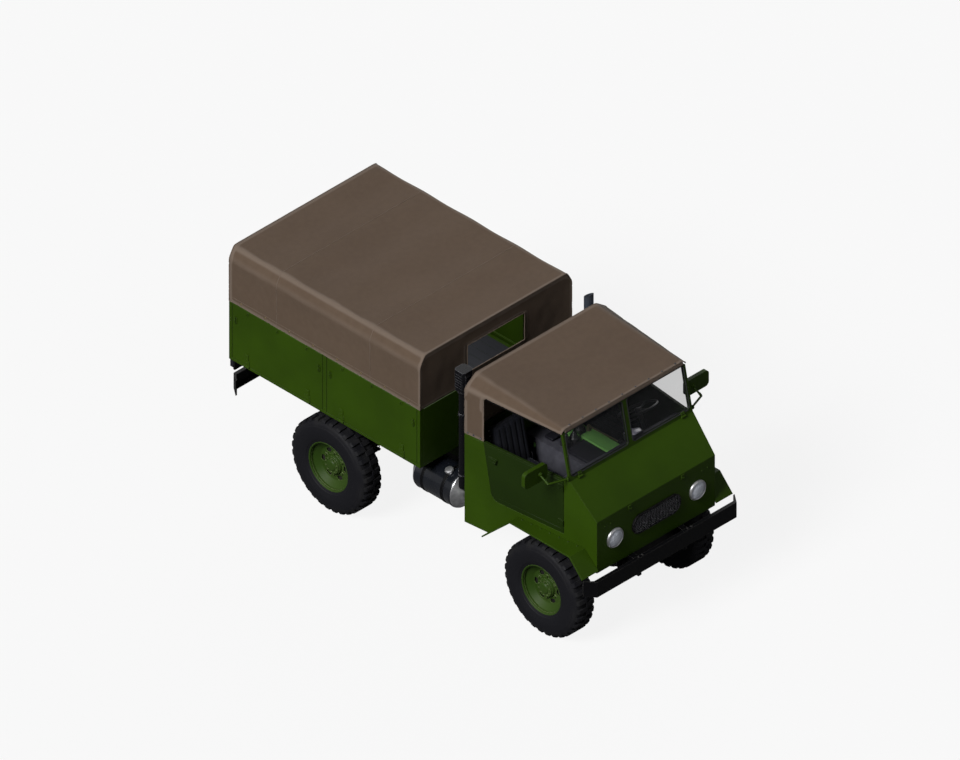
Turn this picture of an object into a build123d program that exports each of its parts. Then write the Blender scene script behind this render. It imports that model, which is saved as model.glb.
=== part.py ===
from build123d import *
import math
import os

# Four-wheel-drive forward-control military cargo truck with a canvas cab roof and a covered drop-side bed.
# Millimetres. +X is the truck's left, the front faces -Y, +Z is up.
# The origin is on the ground in mid-length.

# ---------------------------------------------------------------- driving dimensions
LENGTH = 4956
WHEELBASE = 2900
TRACK = 1630
FRONT_OVERHANG = 786            # front axle to the bumper's face
NOSE_Y = -LENGTH / 2
REAR_Y = LENGTH / 2
FRONT_AXLE_Y = NOSE_Y + FRONT_OVERHANG
REAR_AXLE_Y = FRONT_AXLE_Y + WHEELBASE

TYRE_R = 515                    # over the lugs
TYRE_BASE_R = 497               # between the lugs
TYRE_HALF_WIDTH = 138
BEAD_R = 254
FLANGE_R = 268
AXLE_Z = TYRE_R
LUGS = 32                       # lugs along one shoulder

RAIL_X = 335                    # middle of a chassis rail
RAIL_WIDTH = 70
RAIL_SHEET = 8
RAIL_BOTTOM_Z = 830
RAIL_TOP_Z = 960

KINGPIN_X = 690
STEERING_ARM = 240              # kingpin to the track rod, measured forwards
TRACK_ROD_X = 620
TRACK_ROD_R = 16

CAB_REAR_Y = FRONT_AXLE_Y + 1005
CAB_FRONT_Y = FRONT_AXLE_Y - 636
CAB_REAR_HALF = 967.5
CAB_FRONT_HALF = 804
CAB_BOTTOM_Z = 840
BELT_Z = 1890
WALL = 30
HOOD_FRONT_Z = 1562
SCREEN_FOOT_Y = FRONT_AXLE_Y - 302
SCREEN_FOOT_Z = 1895
SCREEN_TOP_Y = FRONT_AXLE_Y - 190
SCREEN_TOP_Z = 2437
FLOOR_Z = 1196                  # top of the cab floor and of the wings
FLOOR_THICK = 15

DOOR_FRONT_Y = FRONT_AXLE_Y - 220
DOOR_REAR_TOP_Y = FRONT_AXLE_Y + 770
DOOR_REAR_FOOT_Y = FRONT_AXLE_Y + 658
DOOR_FOOT_Z = 1255
DOOR_TOP_Z = 1885
DOOR_GAP = 6

BED_FRONT_Y = FRONT_AXLE_Y + 1544
BED_REAR_Y = FRONT_AXLE_Y + 4146
BED_HALF = 1035
BED_BOTTOM_Z = 1230
BED_FLOOR_Z = 1258
BOARD_TOP_Z = 1905
BOARD = 30
POST = 50
TARP_FOOT_Z = 1914
TARP_SHOULDER_Z = 2416
TARP_TOP_Z = 2535
TARP_TOP_HALF = 967
CLOTH = 10
BOWS = 5
HINGE_R = 8                     # barrel of a board's or a door's hinge
HINGE_OUT = 9                   # its pin stands this far out of the panel

BUMPER_BOTTOM_Z = 828
BUMPER_TOP_Z = 1005
WING_OUTER_X = 1025
WING_THICK = 15

LAMP_X = 562
LAMP_Z = 1271
LAMP_R = 110
LAMP_SIDES = 16                 # flats of a lamp's ring and lens

SIDES = (("left", 1), ("right", -1))

os.makedirs("parts", exist_ok=True)


def save(builder, name):
    """Label a finished sub-part and write it."""
    builder.part.label = name
    export_step(builder.part, f"parts/{name}.step")


def cab_half(y):
    """Half the cab's width at a distance y: its sides run closer together towards the nose."""
    taper = (CAB_REAR_HALF - CAB_FRONT_HALF) / (CAB_REAR_Y - CAB_FRONT_Y)
    return CAB_REAR_HALF - taper * (CAB_REAR_Y - y)


def across(x=0):
    """The side-view plane at x: local x runs rearwards, local y up, the normal to the truck's left."""
    return Plane.YZ.offset(x)


# ---------------------------------------------------------------- chassis frame
# Two channel rails, open inwards, with the spring hangers under them and a towing eye under each front end.
RAIL_FRONT_Y = NOSE_Y + 40
RAIL_REAR_Y = REAR_Y - 40
RAIL_INSIDE_X = RAIL_X + RAIL_WIDTH / 2 - RAIL_SHEET
CROSS_MEMBERS = (FRONT_AXLE_Y - 560, FRONT_AXLE_Y + 1420, REAR_AXLE_Y - 560, REAR_AXLE_Y + 640, REAR_Y - 170)
SPRING_HALF = 520               # axle to a spring's eye
EYE_Z = 775
HANGER_FOOT_Z = EYE_Z - 30
SPRING_ENDS = tuple(axle_y + end * SPRING_HALF for axle_y in (FRONT_AXLE_Y, REAR_AXLE_Y) for end in (-1, 1))
TOW_EYE = (RAIL_FRONT_Y + 45, RAIL_BOTTOM_Z - 67)

with BuildPart() as frame_rails:
    with BuildSketch(Plane.XZ.offset(-RAIL_FRONT_Y)):
        for _, side in SIDES:
            with Locations((side * RAIL_X, (RAIL_BOTTOM_Z + RAIL_TOP_Z) / 2)):
                Rectangle(RAIL_WIDTH, RAIL_TOP_Z - RAIL_BOTTOM_Z)
        with Locations((0, (RAIL_BOTTOM_Z + RAIL_TOP_Z) / 2)):
            Rectangle(2 * RAIL_INSIDE_X, RAIL_TOP_Z - RAIL_BOTTOM_Z - 2 * RAIL_SHEET, mode=Mode.SUBTRACT)
    extrude(amount=RAIL_FRONT_Y - RAIL_REAR_Y)
    for _, side in SIDES:
        for hanger_y in SPRING_ENDS:
            with Locations((side * RAIL_X, hanger_y, (HANGER_FOOT_Z + RAIL_BOTTOM_Z) / 2)):
                Box(RAIL_WIDTH + 14, 70, RAIL_BOTTOM_Z - HANGER_FOOT_Z)
            with Locations((side * RAIL_X, hanger_y, EYE_Z - 6)):
                Box(RAIL_WIDTH - 8, 72, 84, mode=Mode.SUBTRACT)
        with BuildSketch(across(side * (RAIL_X - RAIL_WIDTH / 2))) as eye_plate:
            with Locations((TOW_EYE[0], RAIL_BOTTOM_Z - 45)):
                Rectangle(76, 106)
            chamfer(eye_plate.vertices(), 20)
            with Locations(TOW_EYE):
                Circle(18, mode=Mode.SUBTRACT)
        extrude(amount=side * 22)
save(frame_rails, "frame_rails")

with BuildPart() as cross_members:
    for y in CROSS_MEMBERS:
        with Locations((0, y, (RAIL_BOTTOM_Z + RAIL_TOP_Z) / 2)):
            Box(2 * RAIL_INSIDE_X, 80, 90)
save(cross_members, "cross_members")

# ---------------------------------------------------------------- axles
# Pressed axle cases: a flat bar that swells into a ring round the differential, with a coned cover
# and a nose.
CASE_HALF_HEIGHT = 55
CASE_HALF_DEPTH = 50
SPRING_SEAT_Z = 582
DIFF_R = 150
HOUSING_X = 90                  # the differential sits left of the middle
NOSE_DEPTH = 70
COVER_SIDES = 16


def axle_case(y, half_length, nose):
    """The beam of one axle; its pinion's nose points to the gearbox, +1 rearwards or -1 forwards."""
    with BuildPart() as case:
        with BuildSketch(Plane.XZ.offset(-y)):
            with Locations((0, AXLE_Z)):
                Rectangle(2 * half_length, 2 * CASE_HALF_HEIGHT)
            with Locations((HOUSING_X, AXLE_Z)):
                RegularPolygon(DIFF_R, COVER_SIDES)
        extrude(amount=CASE_HALF_DEPTH, both=True)
        chamfer(case.edges().filter_by(Axis.X), 18)
        for facing, depth, end_r in ((nose, NOSE_DEPTH, 62), (-nose, 60, 90)):
            with BuildPart(mode=Mode.PRIVATE) as cover:
                with BuildSketch(Plane.XZ.offset(-y - facing * (CASE_HALF_DEPTH - 2))):
                    with Locations((HOUSING_X, AXLE_Z)):
                        RegularPolygon(DIFF_R - 12, COVER_SIDES)
                extrude(amount=-facing * (depth + 2))
                cap = cover.faces().sort_by(Axis.Y)[-1 if facing > 0 else 0]
                chamfer(cap.edges(), length=DIFF_R - 14 - end_r, length2=depth - 4, reference=cap)
            add(cover.part)
        for _, side in SIDES:
            with Locations((side * RAIL_X, y, SPRING_SEAT_Z - 25)):
                Box(RAIL_WIDTH + 10, 140, 50)
    return case.part


FORK_GAP = 160
FORK_ARM = 28
FORK_EYE_R = 36
FORK_WEB_X = KINGPIN_X - 62
FORK_ARM_Z = (FORK_GAP + FORK_ARM) / 2

with BuildPart() as front_axle:
    add(axle_case(FRONT_AXLE_Y, FORK_WEB_X, 1))
    for _, side in SIDES:
        with Locations((side * FORK_WEB_X, FRONT_AXLE_Y, AXLE_Z)):
            Box(30, 110, FORK_GAP + 2 * FORK_ARM)
        for up in (-1, 1):
            with BuildSketch(Plane.XY.offset(AXLE_Z + up * FORK_ARM_Z - FORK_ARM / 2)):
                with Locations((side * (FORK_WEB_X + KINGPIN_X) / 2, FRONT_AXLE_Y)):
                    Rectangle(KINGPIN_X - FORK_WEB_X, 2 * FORK_EYE_R)
                with Locations((side * KINGPIN_X, FRONT_AXLE_Y)):
                    RegularPolygon(FORK_EYE_R, 12)
            extrude(amount=FORK_ARM)
save(front_axle, "front_axle")

with BuildPart() as rear_axle:
    add(axle_case(REAR_AXLE_Y, 690, -1))
    for _, side in SIDES:
        with BuildSketch(Plane.YZ.offset(side * 680)):
            with Locations((REAR_AXLE_Y, AXLE_Z)):
                RegularPolygon(95, COVER_SIDES)
        extrude(amount=side * 20)
save(rear_axle, "rear_axle")

# Four stacks of leaves, bent up from the axle's seat to an eye at each end, with a clamp plate between.
LEAF_HALF_WIDTH = 29
# distance from the axle, height of the stack's foot, thickness of the stack there
LEAF_STATIONS = ((SPRING_HALF, EYE_Z - 10, 14), (330, 680, 24),
                 (110, SPRING_SEAT_Z + 4, 40), (70, SPRING_SEAT_Z, 44))

with BuildPart() as springs:
    for axle_y in (FRONT_AXLE_Y, REAR_AXLE_Y):
        foot = [(axle_y - away, z) for away, z, _ in LEAF_STATIONS]
        foot += [(axle_y + away, z) for away, z, _ in reversed(LEAF_STATIONS)]
        top = [(axle_y + away, z + thick) for away, z, thick in LEAF_STATIONS]
        top += [(axle_y - away, z + thick) for away, z, thick in reversed(LEAF_STATIONS)]
        for _, side in SIDES:
            with BuildSketch(across(side * RAIL_X - LEAF_HALF_WIDTH)):
                Polygon(*foot, *top, align=None)
                with Locations((axle_y - SPRING_HALF, EYE_Z), (axle_y + SPRING_HALF, EYE_Z)):
                    RegularPolygon(24, 8, major_radius=False)
                with Locations((axle_y, SPRING_SEAT_Z + 48)):
                    Rectangle(110, 16)
            extrude(amount=2 * LEAF_HALF_WIDTH)
save(springs, "springs")

# Gearbox with its transfer case hung between the rails, and the two shafts to the axles.
AXLE_NOSE = CASE_HALF_DEPTH + NOSE_DEPTH
with BuildPart() as driveline:
    with Locations((0, FRONT_AXLE_Y + 1120, 840)):
        Box(300, 460, 260)
    with Locations((HOUSING_X - 20, FRONT_AXLE_Y + 1180, 690)):
        Box(220, 260, 160)
    # the shafts' start and end: distance along the truck, height
    for start_y, start_z, end_y, end_z in ((FRONT_AXLE_Y + AXLE_NOSE, AXLE_Z, FRONT_AXLE_Y + 1060, 660),
                                           (FRONT_AXLE_Y + 1300, 660, REAR_AXLE_Y - AXLE_NOSE, AXLE_Z)):
        run = Vector(0, end_y - start_y, end_z - start_z)
        with BuildSketch(Plane(origin=(HOUSING_X, start_y, start_z), z_dir=run).offset(-40)):
            RegularPolygon(34, 12)
        extrude(amount=run.length + 80)
    for beyond_y in (FRONT_AXLE_Y + AXLE_NOSE - 500, REAR_AXLE_Y - AXLE_NOSE + 500):
        with Locations((0, beyond_y, AXLE_Z)):
            Box(1000, 1000, 1000, mode=Mode.SUBTRACT)
save(driveline, "driveline")

# The engine under the cab's cover: a plain block of its real bulk on a bearer between the rails.
with BuildPart() as engine_block:
    with Locations((0, FRONT_AXLE_Y + 480, 1030)):
        Box(490, 800, 520)
    with Locations((0, FRONT_AXLE_Y + 480, 900)):
        Box(2 * RAIL_INSIDE_X, 90, 60)
save(engine_block, "engine_block")

# ---------------------------------------------------------------- cab
WING_REAR_FOOT = (FRONT_AXLE_Y + 720, CAB_BOTTOM_Z)
WING_REAR_TOP = (FRONT_AXLE_Y + 340, FLOOR_Z)
WING_FRONT_TOP = (FRONT_AXLE_Y - 483, FLOOR_Z)
WING_FRONT_FOOT = (FRONT_AXLE_Y - 660, 1006)
HOOD_SHEET = 35                 # measured upright through the 45-degree hood

# The cab's whole skin, doors included: tapered in plan, cut to its side view and hollowed.
with BuildPart() as cab_outer:
    with BuildSketch(Plane.XY.offset(CAB_BOTTOM_Z - 100)):
        Polygon((CAB_REAR_HALF, CAB_REAR_Y), (-CAB_REAR_HALF, CAB_REAR_Y),
                (-CAB_FRONT_HALF, CAB_FRONT_Y), (CAB_FRONT_HALF, CAB_FRONT_Y), align=None)
    extrude(amount=SCREEN_FOOT_Z + 100)
with BuildPart() as cab_inner:
    with BuildSketch(Plane.XY.offset(CAB_BOTTOM_Z - 200)):
        Polygon((CAB_REAR_HALF, CAB_REAR_Y), (-CAB_REAR_HALF, CAB_REAR_Y),
                (-CAB_FRONT_HALF, CAB_FRONT_Y), (CAB_FRONT_HALF, CAB_FRONT_Y), align=None)
        offset(amount=-WALL, kind=Kind.INTERSECTION)
    extrude(amount=SCREEN_FOOT_Z + 400)
    with BuildSketch(across()):
        Polygon((CAB_REAR_Y, 0), (CAB_REAR_Y, 3000), (SCREEN_FOOT_Y + 60, 3000),
                (SCREEN_FOOT_Y + 60, SCREEN_FOOT_Z - 30), (SCREEN_FOOT_Y + 5, SCREEN_FOOT_Z - 30),
                (CAB_FRONT_Y, HOOD_FRONT_Z - HOOD_SHEET), (CAB_FRONT_Y, 0), align=None)
    extrude(amount=1200, both=True, mode=Mode.INTERSECT)

with BuildPart() as cab_skin:
    add(cab_outer.part)
    with BuildSketch(across()):
        Polygon((CAB_REAR_Y, CAB_BOTTOM_Z), (CAB_REAR_Y, BELT_Z), (SCREEN_FOOT_Y + 60, BELT_Z),
                (SCREEN_FOOT_Y + 60, SCREEN_FOOT_Z), (SCREEN_FOOT_Y, SCREEN_FOOT_Z),
                (CAB_FRONT_Y, HOOD_FRONT_Z), (CAB_FRONT_Y, 965), (CAB_FRONT_Y + WALL, 965),
                (CAB_FRONT_Y + WALL, 1040),
                (WING_FRONT_TOP[0], FLOOR_Z - WING_THICK), (WING_REAR_TOP[0], FLOOR_Z - WING_THICK),
                (WING_REAR_FOOT[0], CAB_BOTTOM_Z), align=None)
    extrude(amount=1200, both=True, mode=Mode.INTERSECT)
    add(cab_inner.part, mode=Mode.SUBTRACT)


def door_outline(gap):
    """The door in side view, grown all round by a gap; its rear lower corner is round."""
    slant = (DOOR_REAR_TOP_Y - DOOR_REAR_FOOT_Y) / (BELT_Z - DOOR_FOOT_Z)
    with BuildSketch(across()) as outline:
        Polygon((DOOR_FRONT_Y - gap, DOOR_FOOT_Z - gap), (DOOR_REAR_FOOT_Y + gap, DOOR_FOOT_Z - gap),
                (DOOR_REAR_TOP_Y + gap, DOOR_TOP_Z + gap * 4),
                (DOOR_FRONT_Y - gap, DOOR_TOP_Z + gap * 4), align=None)
        rear_foot = outline.vertices().group_by(Axis.Y)[0].sort_by(Axis.X)[-1]
        fillet(rear_foot, 90 + gap)
    return outline.sketch


def oblong(length, height):
    """An oblong whose ends are halves of a twelve-sided disc."""
    with BuildSketch() as outline:
        Rectangle(length - height, height)
        with Locations(((length - height) / 2, 0), ((height - length) / 2, 0)):
            RegularPolygon(height / 2, 12, major_radius=False, rotation=15)
    return outline.sketch


GRILLE_HALF = 330
GRILLE_LOW_Z = 1160
GRILLE_HIGH_Z = 1385
RADIATOR_HOLE = (2 * GRILLE_HALF - 50, GRILLE_HIGH_Z - GRILLE_LOW_Z - 50)
REAR_HATCH = (800, FLOOR_Z - FLOOR_THICK - CAB_BOTTOM_Z)   # way under the floor for rails, gearbox and ducts

with BuildPart() as cab_shell:
    add(cab_skin.part)
    extrude(door_outline(DOOR_GAP), amount=1200, both=True, mode=Mode.SUBTRACT)
    with BuildSketch(Plane.XZ.offset(-CAB_FRONT_Y + 10)):
        with Locations((0, (GRILLE_LOW_Z + GRILLE_HIGH_Z) / 2)):
            add(oblong(*RADIATOR_HOLE))
        with Locations((LAMP_X, LAMP_Z), (-LAMP_X, LAMP_Z)):
            RegularPolygon(LAMP_R - 14, LAMP_SIDES, major_radius=False)
    extrude(amount=-WALL - 20, mode=Mode.SUBTRACT)
    with Locations((0, CAB_REAR_Y - WALL / 2, FLOOR_Z - FLOOR_THICK - REAR_HATCH[1] / 2)):
        Box(REAR_HATCH[0], WALL + 20, REAR_HATCH[1], mode=Mode.SUBTRACT)
save(cab_shell, "cab_shell")

# Doors cut from the same skin, each with two hinge barrels on its front edge and a handle at its rear.
DOOR_HINGE_X = cab_half(DOOR_FRONT_Y) + HINGE_OUT + 1
DOOR_HINGE_Y = DOOR_FRONT_Y - 3
for name, side in SIDES:
    with BuildPart() as door:
        add(cab_skin.part)
        extrude(door_outline(0), amount=1200 * side, mode=Mode.INTERSECT)
        with BuildSketch(Plane.XY.offset(DOOR_TOP_Z)):
            Rectangle(3000, 6000)
        extrude(amount=100, mode=Mode.SUBTRACT)
        for hinge_z in (DOOR_FOOT_Z + 90, DOOR_TOP_Z - 130):
            with BuildSketch(Plane.XY.offset(hinge_z)):
                Polygon((side * (DOOR_HINGE_X - HINGE_OUT - 3), DOOR_HINGE_Y + 6),
                        (side * DOOR_HINGE_X, DOOR_HINGE_Y),
                        (side * (DOOR_HINGE_X + 2), DOOR_HINGE_Y + 70),
                        (side * (DOOR_HINGE_X - HINGE_OUT - 3), DOOR_HINGE_Y + 70), align=None)
                with Locations((side * DOOR_HINGE_X, DOOR_HINGE_Y)):
                    Circle(HINGE_R)
            extrude(amount=60)
        with Locations((side * (cab_half(DOOR_REAR_FOOT_Y) + 6), DOOR_REAR_FOOT_Y - 10, DOOR_TOP_Z - 150)):
            Box(22, 110, 24)
    save(door, f"door_{name}")

# Floor plate with the opening over the engine and a box for each seat, then the sloped cover between
# the seats.
DRIVER_X = 580
SEAT_Y = FRONT_AXLE_Y + 520
SEAT_FOOT_Z = 1370
COVER_HALF = 268
COVER_FRONT_Y = FRONT_AXLE_Y - 60
COVER_REAR_Y = FRONT_AXLE_Y + 930
COVER_TOP_Z = 1580

with BuildPart() as cab_floor:
    with BuildSketch(Plane.XY.offset(FLOOR_Z - FLOOR_THICK)):
        Polygon((CAB_REAR_HALF, CAB_REAR_Y), (-CAB_REAR_HALF, CAB_REAR_Y),
                (-CAB_FRONT_HALF, CAB_FRONT_Y), (CAB_FRONT_HALF, CAB_FRONT_Y), align=None)
        offset(amount=-WALL, kind=Kind.INTERSECTION)
        with Locations((0, (COVER_FRONT_Y + COVER_REAR_Y) / 2)):
            Rectangle(2 * COVER_HALF, COVER_REAR_Y - COVER_FRONT_Y, mode=Mode.SUBTRACT)
    extrude(amount=FLOOR_THICK)
    for _, side in SIDES:
        with Locations((side * DRIVER_X, SEAT_Y, (FLOOR_Z + SEAT_FOOT_Z) / 2)):
            Box(180, 400, SEAT_FOOT_Z - FLOOR_Z)
save(cab_floor, "cab_floor")

with BuildPart() as engine_cover:
    with BuildSketch(Plane.XY.offset(FLOOR_Z)):
        with Locations((0, (COVER_FRONT_Y + COVER_REAR_Y) / 2)):
            Rectangle(2 * COVER_HALF + 40, COVER_REAR_Y - COVER_FRONT_Y + 30)
    extrude(amount=COVER_TOP_Z - FLOOR_Z, taper=8)
    with BuildSketch(Plane.XY.offset(FLOOR_Z)):
        with Locations((0, (COVER_FRONT_Y + COVER_REAR_Y) / 2)):
            Rectangle(2 * COVER_HALF, COVER_REAR_Y - COVER_FRONT_Y - 10)
    extrude(amount=COVER_TOP_Z - FLOOR_Z - 20, taper=8, mode=Mode.SUBTRACT)
save(engine_cover, "engine_cover")

# Front wings: one bent strip each side, flat over the wheel and sloping before and behind it.
with BuildPart() as wings:
    with BuildSketch(across()):
        Polygon(WING_REAR_FOOT, WING_REAR_TOP, WING_FRONT_TOP, WING_FRONT_FOOT,
                (WING_FRONT_FOOT[0] + 12, WING_FRONT_FOOT[1] - 9),
                (WING_FRONT_TOP[0] + 7, FLOOR_Z - WING_THICK), (WING_REAR_TOP[0] - 6, FLOOR_Z - WING_THICK),
                (WING_REAR_FOOT[0] - 11, WING_REAR_FOOT[1] - 10), align=None)
    extrude(amount=WING_OUTER_X, both=True)
    add(cab_outer.part, mode=Mode.SUBTRACT)
    with Locations((0, CAB_FRONT_Y, WING_FRONT_FOOT[1])):
        Box(2 * CAB_FRONT_HALF, 200, 400, mode=Mode.SUBTRACT)
save(wings, "wings")

# ---------------------------------------------------------------- windscreen
SCREEN_SLOPE = Vector(0, SCREEN_TOP_Y - SCREEN_FOOT_Y, SCREEN_TOP_Z - SCREEN_FOOT_Z)
SCREEN_HEIGHT = SCREEN_SLOPE.length
SCREEN_HALF = 836
SCREEN_BAR = 34
FRAME_THICK = 28
screen_plane = Plane(origin=(0, SCREEN_FOOT_Y, SCREEN_FOOT_Z), x_dir=(1, 0, 0),
                     z_dir=Vector(1, 0, 0).cross(SCREEN_SLOPE))


def panes():
    """The two panes side by side with cut corners, in the windscreen's own plane."""
    with BuildSketch() as pair:
        with Locations((SCREEN_HALF / 2, SCREEN_HEIGHT / 2), (-SCREEN_HALF / 2, SCREEN_HEIGHT / 2)):
            Rectangle(SCREEN_HALF - 1.5 * SCREEN_BAR, SCREEN_HEIGHT - 2 * SCREEN_BAR)
        chamfer(pair.vertices(), 22)
    return pair.sketch


with BuildPart() as windscreen_frame:
    with BuildSketch(screen_plane):
        Polygon((-SCREEN_HALF, 0), (SCREEN_HALF, 0),
                (SCREEN_HALF, SCREEN_HEIGHT - 40), (SCREEN_HALF - 75, SCREEN_HEIGHT),
                (-SCREEN_HALF + 75, SCREEN_HEIGHT), (-SCREEN_HALF, SCREEN_HEIGHT - 40), align=None)
        add(panes(), mode=Mode.SUBTRACT)
    extrude(amount=-FRAME_THICK)
    with BuildSketch(Plane.XY.offset(SCREEN_FOOT_Z - 200)):
        Rectangle(4000, 9000)
    extrude(amount=200, mode=Mode.SUBTRACT)
save(windscreen_frame, "windscreen_frame")

with BuildPart() as windscreen_glass:
    with BuildSketch(screen_plane.offset(-FRAME_THICK / 2 - 3)):
        add(panes())
    extrude(amount=6)
save(windscreen_glass, "windscreen_glass")

# ---------------------------------------------------------------- cab canvas and its hoop
CANVAS_TOP_REAR_Z = 2527
CANVAS_TOP_FRONT_Z = 2449
CANVAS_TOP_REAR_HALF = 817
CANVAS_SLOPE = (CAB_REAR_HALF - CANVAS_TOP_REAR_HALF) / (CANVAS_TOP_REAR_Z - TARP_SHOULDER_Z)
CANVAS_FRONT_Y = SCREEN_TOP_Y - 6
SIDE_OPENING_REAR_Y = DOOR_REAR_TOP_Y


def canvas_section(y, top_z, foot_z, inset=0):
    """One upright cross-section of the cab's roof, drawn in by the cloth's thickness for the inside."""
    half = cab_half(y) - inset
    shoulder_z = TARP_SHOULDER_Z - inset / 3
    top_half = half - CANVAS_SLOPE * (top_z - inset - shoulder_z)
    with BuildSketch(Plane.XZ.offset(-y)) as section:
        Polygon((half, foot_z), (half, shoulder_z), (top_half, top_z - inset),
                (-top_half, top_z - inset), (-half, shoulder_z), (-half, foot_z), align=None)
    return section.sketch.faces()[0]


with BuildPart() as cab_canvas:
    loft([canvas_section(CAB_REAR_Y, CANVAS_TOP_REAR_Z, BELT_Z),
          canvas_section(CANVAS_FRONT_Y, CANVAS_TOP_FRONT_Z, BELT_Z)], ruled=True)
    loft([canvas_section(CAB_REAR_Y - CLOTH, CANVAS_TOP_REAR_Z, BELT_Z - 50, CLOTH),
          canvas_section(CANVAS_FRONT_Y - 5, CANVAS_TOP_FRONT_Z, BELT_Z - 50, CLOTH)],
         ruled=True, mode=Mode.SUBTRACT)
    with BuildSketch(across()):
        Polygon((SIDE_OPENING_REAR_Y, BELT_Z - 10), (SIDE_OPENING_REAR_Y, TARP_SHOULDER_Z - 10),
                (CANVAS_FRONT_Y - 50, TARP_SHOULDER_Z - 10), (CANVAS_FRONT_Y - 50, BELT_Z - 10), align=None)
    extrude(amount=1100, both=True, mode=Mode.SUBTRACT)
    with BuildSketch(Plane.XZ.offset(-CAB_REAR_Y - 5)) as rear_window:
        with Locations((0, 2170)):
            Rectangle(760, 280)
        chamfer(rear_window.vertices(), 30)
    extrude(amount=30, mode=Mode.SUBTRACT)
save(cab_canvas, "cab_canvas")

# Rear hoop on the cab's back wall and two side rails to the windscreen: what the canvas lies on.
HOOP_Y = CAB_REAR_Y - 45
HOOP = 26
with BuildPart() as roof_hoop:
    with BuildSketch(Plane.XZ.offset(-HOOP_Y)):
        hoop_half = cab_half(HOOP_Y) - CLOTH - 4
        with BuildLine():
            Polyline((hoop_half - HOOP, BELT_Z), (hoop_half, BELT_Z), (hoop_half, TARP_SHOULDER_Z - 14),
                     (CANVAS_TOP_REAR_HALF - 8, CANVAS_TOP_REAR_Z - 20),
                     (-CANVAS_TOP_REAR_HALF + 8, CANVAS_TOP_REAR_Z - 20), (-hoop_half, TARP_SHOULDER_Z - 14),
                     (-hoop_half, BELT_Z), (-hoop_half + HOOP, BELT_Z),
                     (-hoop_half + HOOP, TARP_SHOULDER_Z - 24),
                     (-CANVAS_TOP_REAR_HALF + 16, CANVAS_TOP_REAR_Z - 46),
                     (CANVAS_TOP_REAR_HALF - 16, CANVAS_TOP_REAR_Z - 46),
                     (hoop_half - HOOP, TARP_SHOULDER_Z - 24),
                     close=True)
        make_face()
    extrude(amount=HOOP)
    for _, side in SIDES:
        rail_start = Vector(side * (cab_half(HOOP_Y) - 30), HOOP_Y - HOOP / 2, TARP_SHOULDER_Z - 34)
        rail_end = Vector(side * (SCREEN_HALF - 16), SCREEN_TOP_Y + FRAME_THICK, TARP_SHOULDER_Z - 34)
        with BuildSketch(Plane(origin=rail_start, z_dir=rail_end - rail_start)):
            Rectangle(22, 22)
        extrude(amount=(rail_end - rail_start).length)
save(roof_hoop, "roof_hoop")

# ---------------------------------------------------------------- cab fittings
WHEEL_TILT = 30                 # steering wheel plane, degrees from level
STEER_CENTRE = (DRIVER_X, FRONT_AXLE_Y + 190, 1800)
STEER_R = 215
column_dir = Vector(0, -math.sin(math.radians(WHEEL_TILT)), -math.cos(math.radians(WHEEL_TILT)))
wheel_plane = Plane(origin=STEER_CENTRE, x_dir=(1, 0, 0), z_dir=-column_dir)

STEER_SIDES = 20
with BuildPart() as steering_wheel:
    with BuildSketch(wheel_plane.offset(-12)):
        RegularPolygon(STEER_R, STEER_SIDES)
        RegularPolygon(STEER_R - 26, STEER_SIDES, mode=Mode.SUBTRACT)
    extrude(amount=24)
    level_edges = steering_wheel.edges().filter_by(wheel_plane)
    chamfer(level_edges, 7)
    with BuildSketch(wheel_plane.offset(-5)):
        for turn in (90, 210, 330):
            with Locations(Location((0, 0), turn)):
                with Locations(((STEER_R - 14) / 2, 0)):
                    Rectangle(STEER_R - 14, 26)
    extrude(amount=10)
    with BuildSketch(wheel_plane.offset(-30)):
        Circle(38)
    extrude(amount=36)
save(steering_wheel, "steering_wheel")

# Dashboard under the screen with its instrument housing, the column and three levers.
DASH_REAR_Y = SCREEN_FOOT_Y + 210
POD_X = 190
POD_R = 105
with BuildPart() as dashboard:
    with BuildSketch(across()):
        Polygon((SCREEN_FOOT_Y + 60, 1860), (DASH_REAR_Y, 1790), (DASH_REAR_Y - 10, 1640),
                (SCREEN_FOOT_Y - 60, 1640), (SCREEN_FOOT_Y - 60, 1790), (SCREEN_FOOT_Y - 2, 1848),
                align=None)
    extrude(amount=cab_half(SCREEN_FOOT_Y - 60) - WALL - 2, both=True)
    with BuildSketch(Plane(origin=(POD_X, SCREEN_FOOT_Y + 150, 1820), x_dir=(1, 0, 0), z_dir=(0, 0.35, 1))):
        RegularPolygon(POD_R, 6)
    extrude(amount=70)
save(dashboard, "dashboard")

# x, distance behind the axle, height of the rod
LEVERS = ((-120, 470, 240), (-30, 450, 300), (120, 520, 200))
PEDALS = (DRIVER_X - 130, DRIVER_X - 10, DRIVER_X + 110)
PEDAL_Y = FRONT_AXLE_Y - 330

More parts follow.
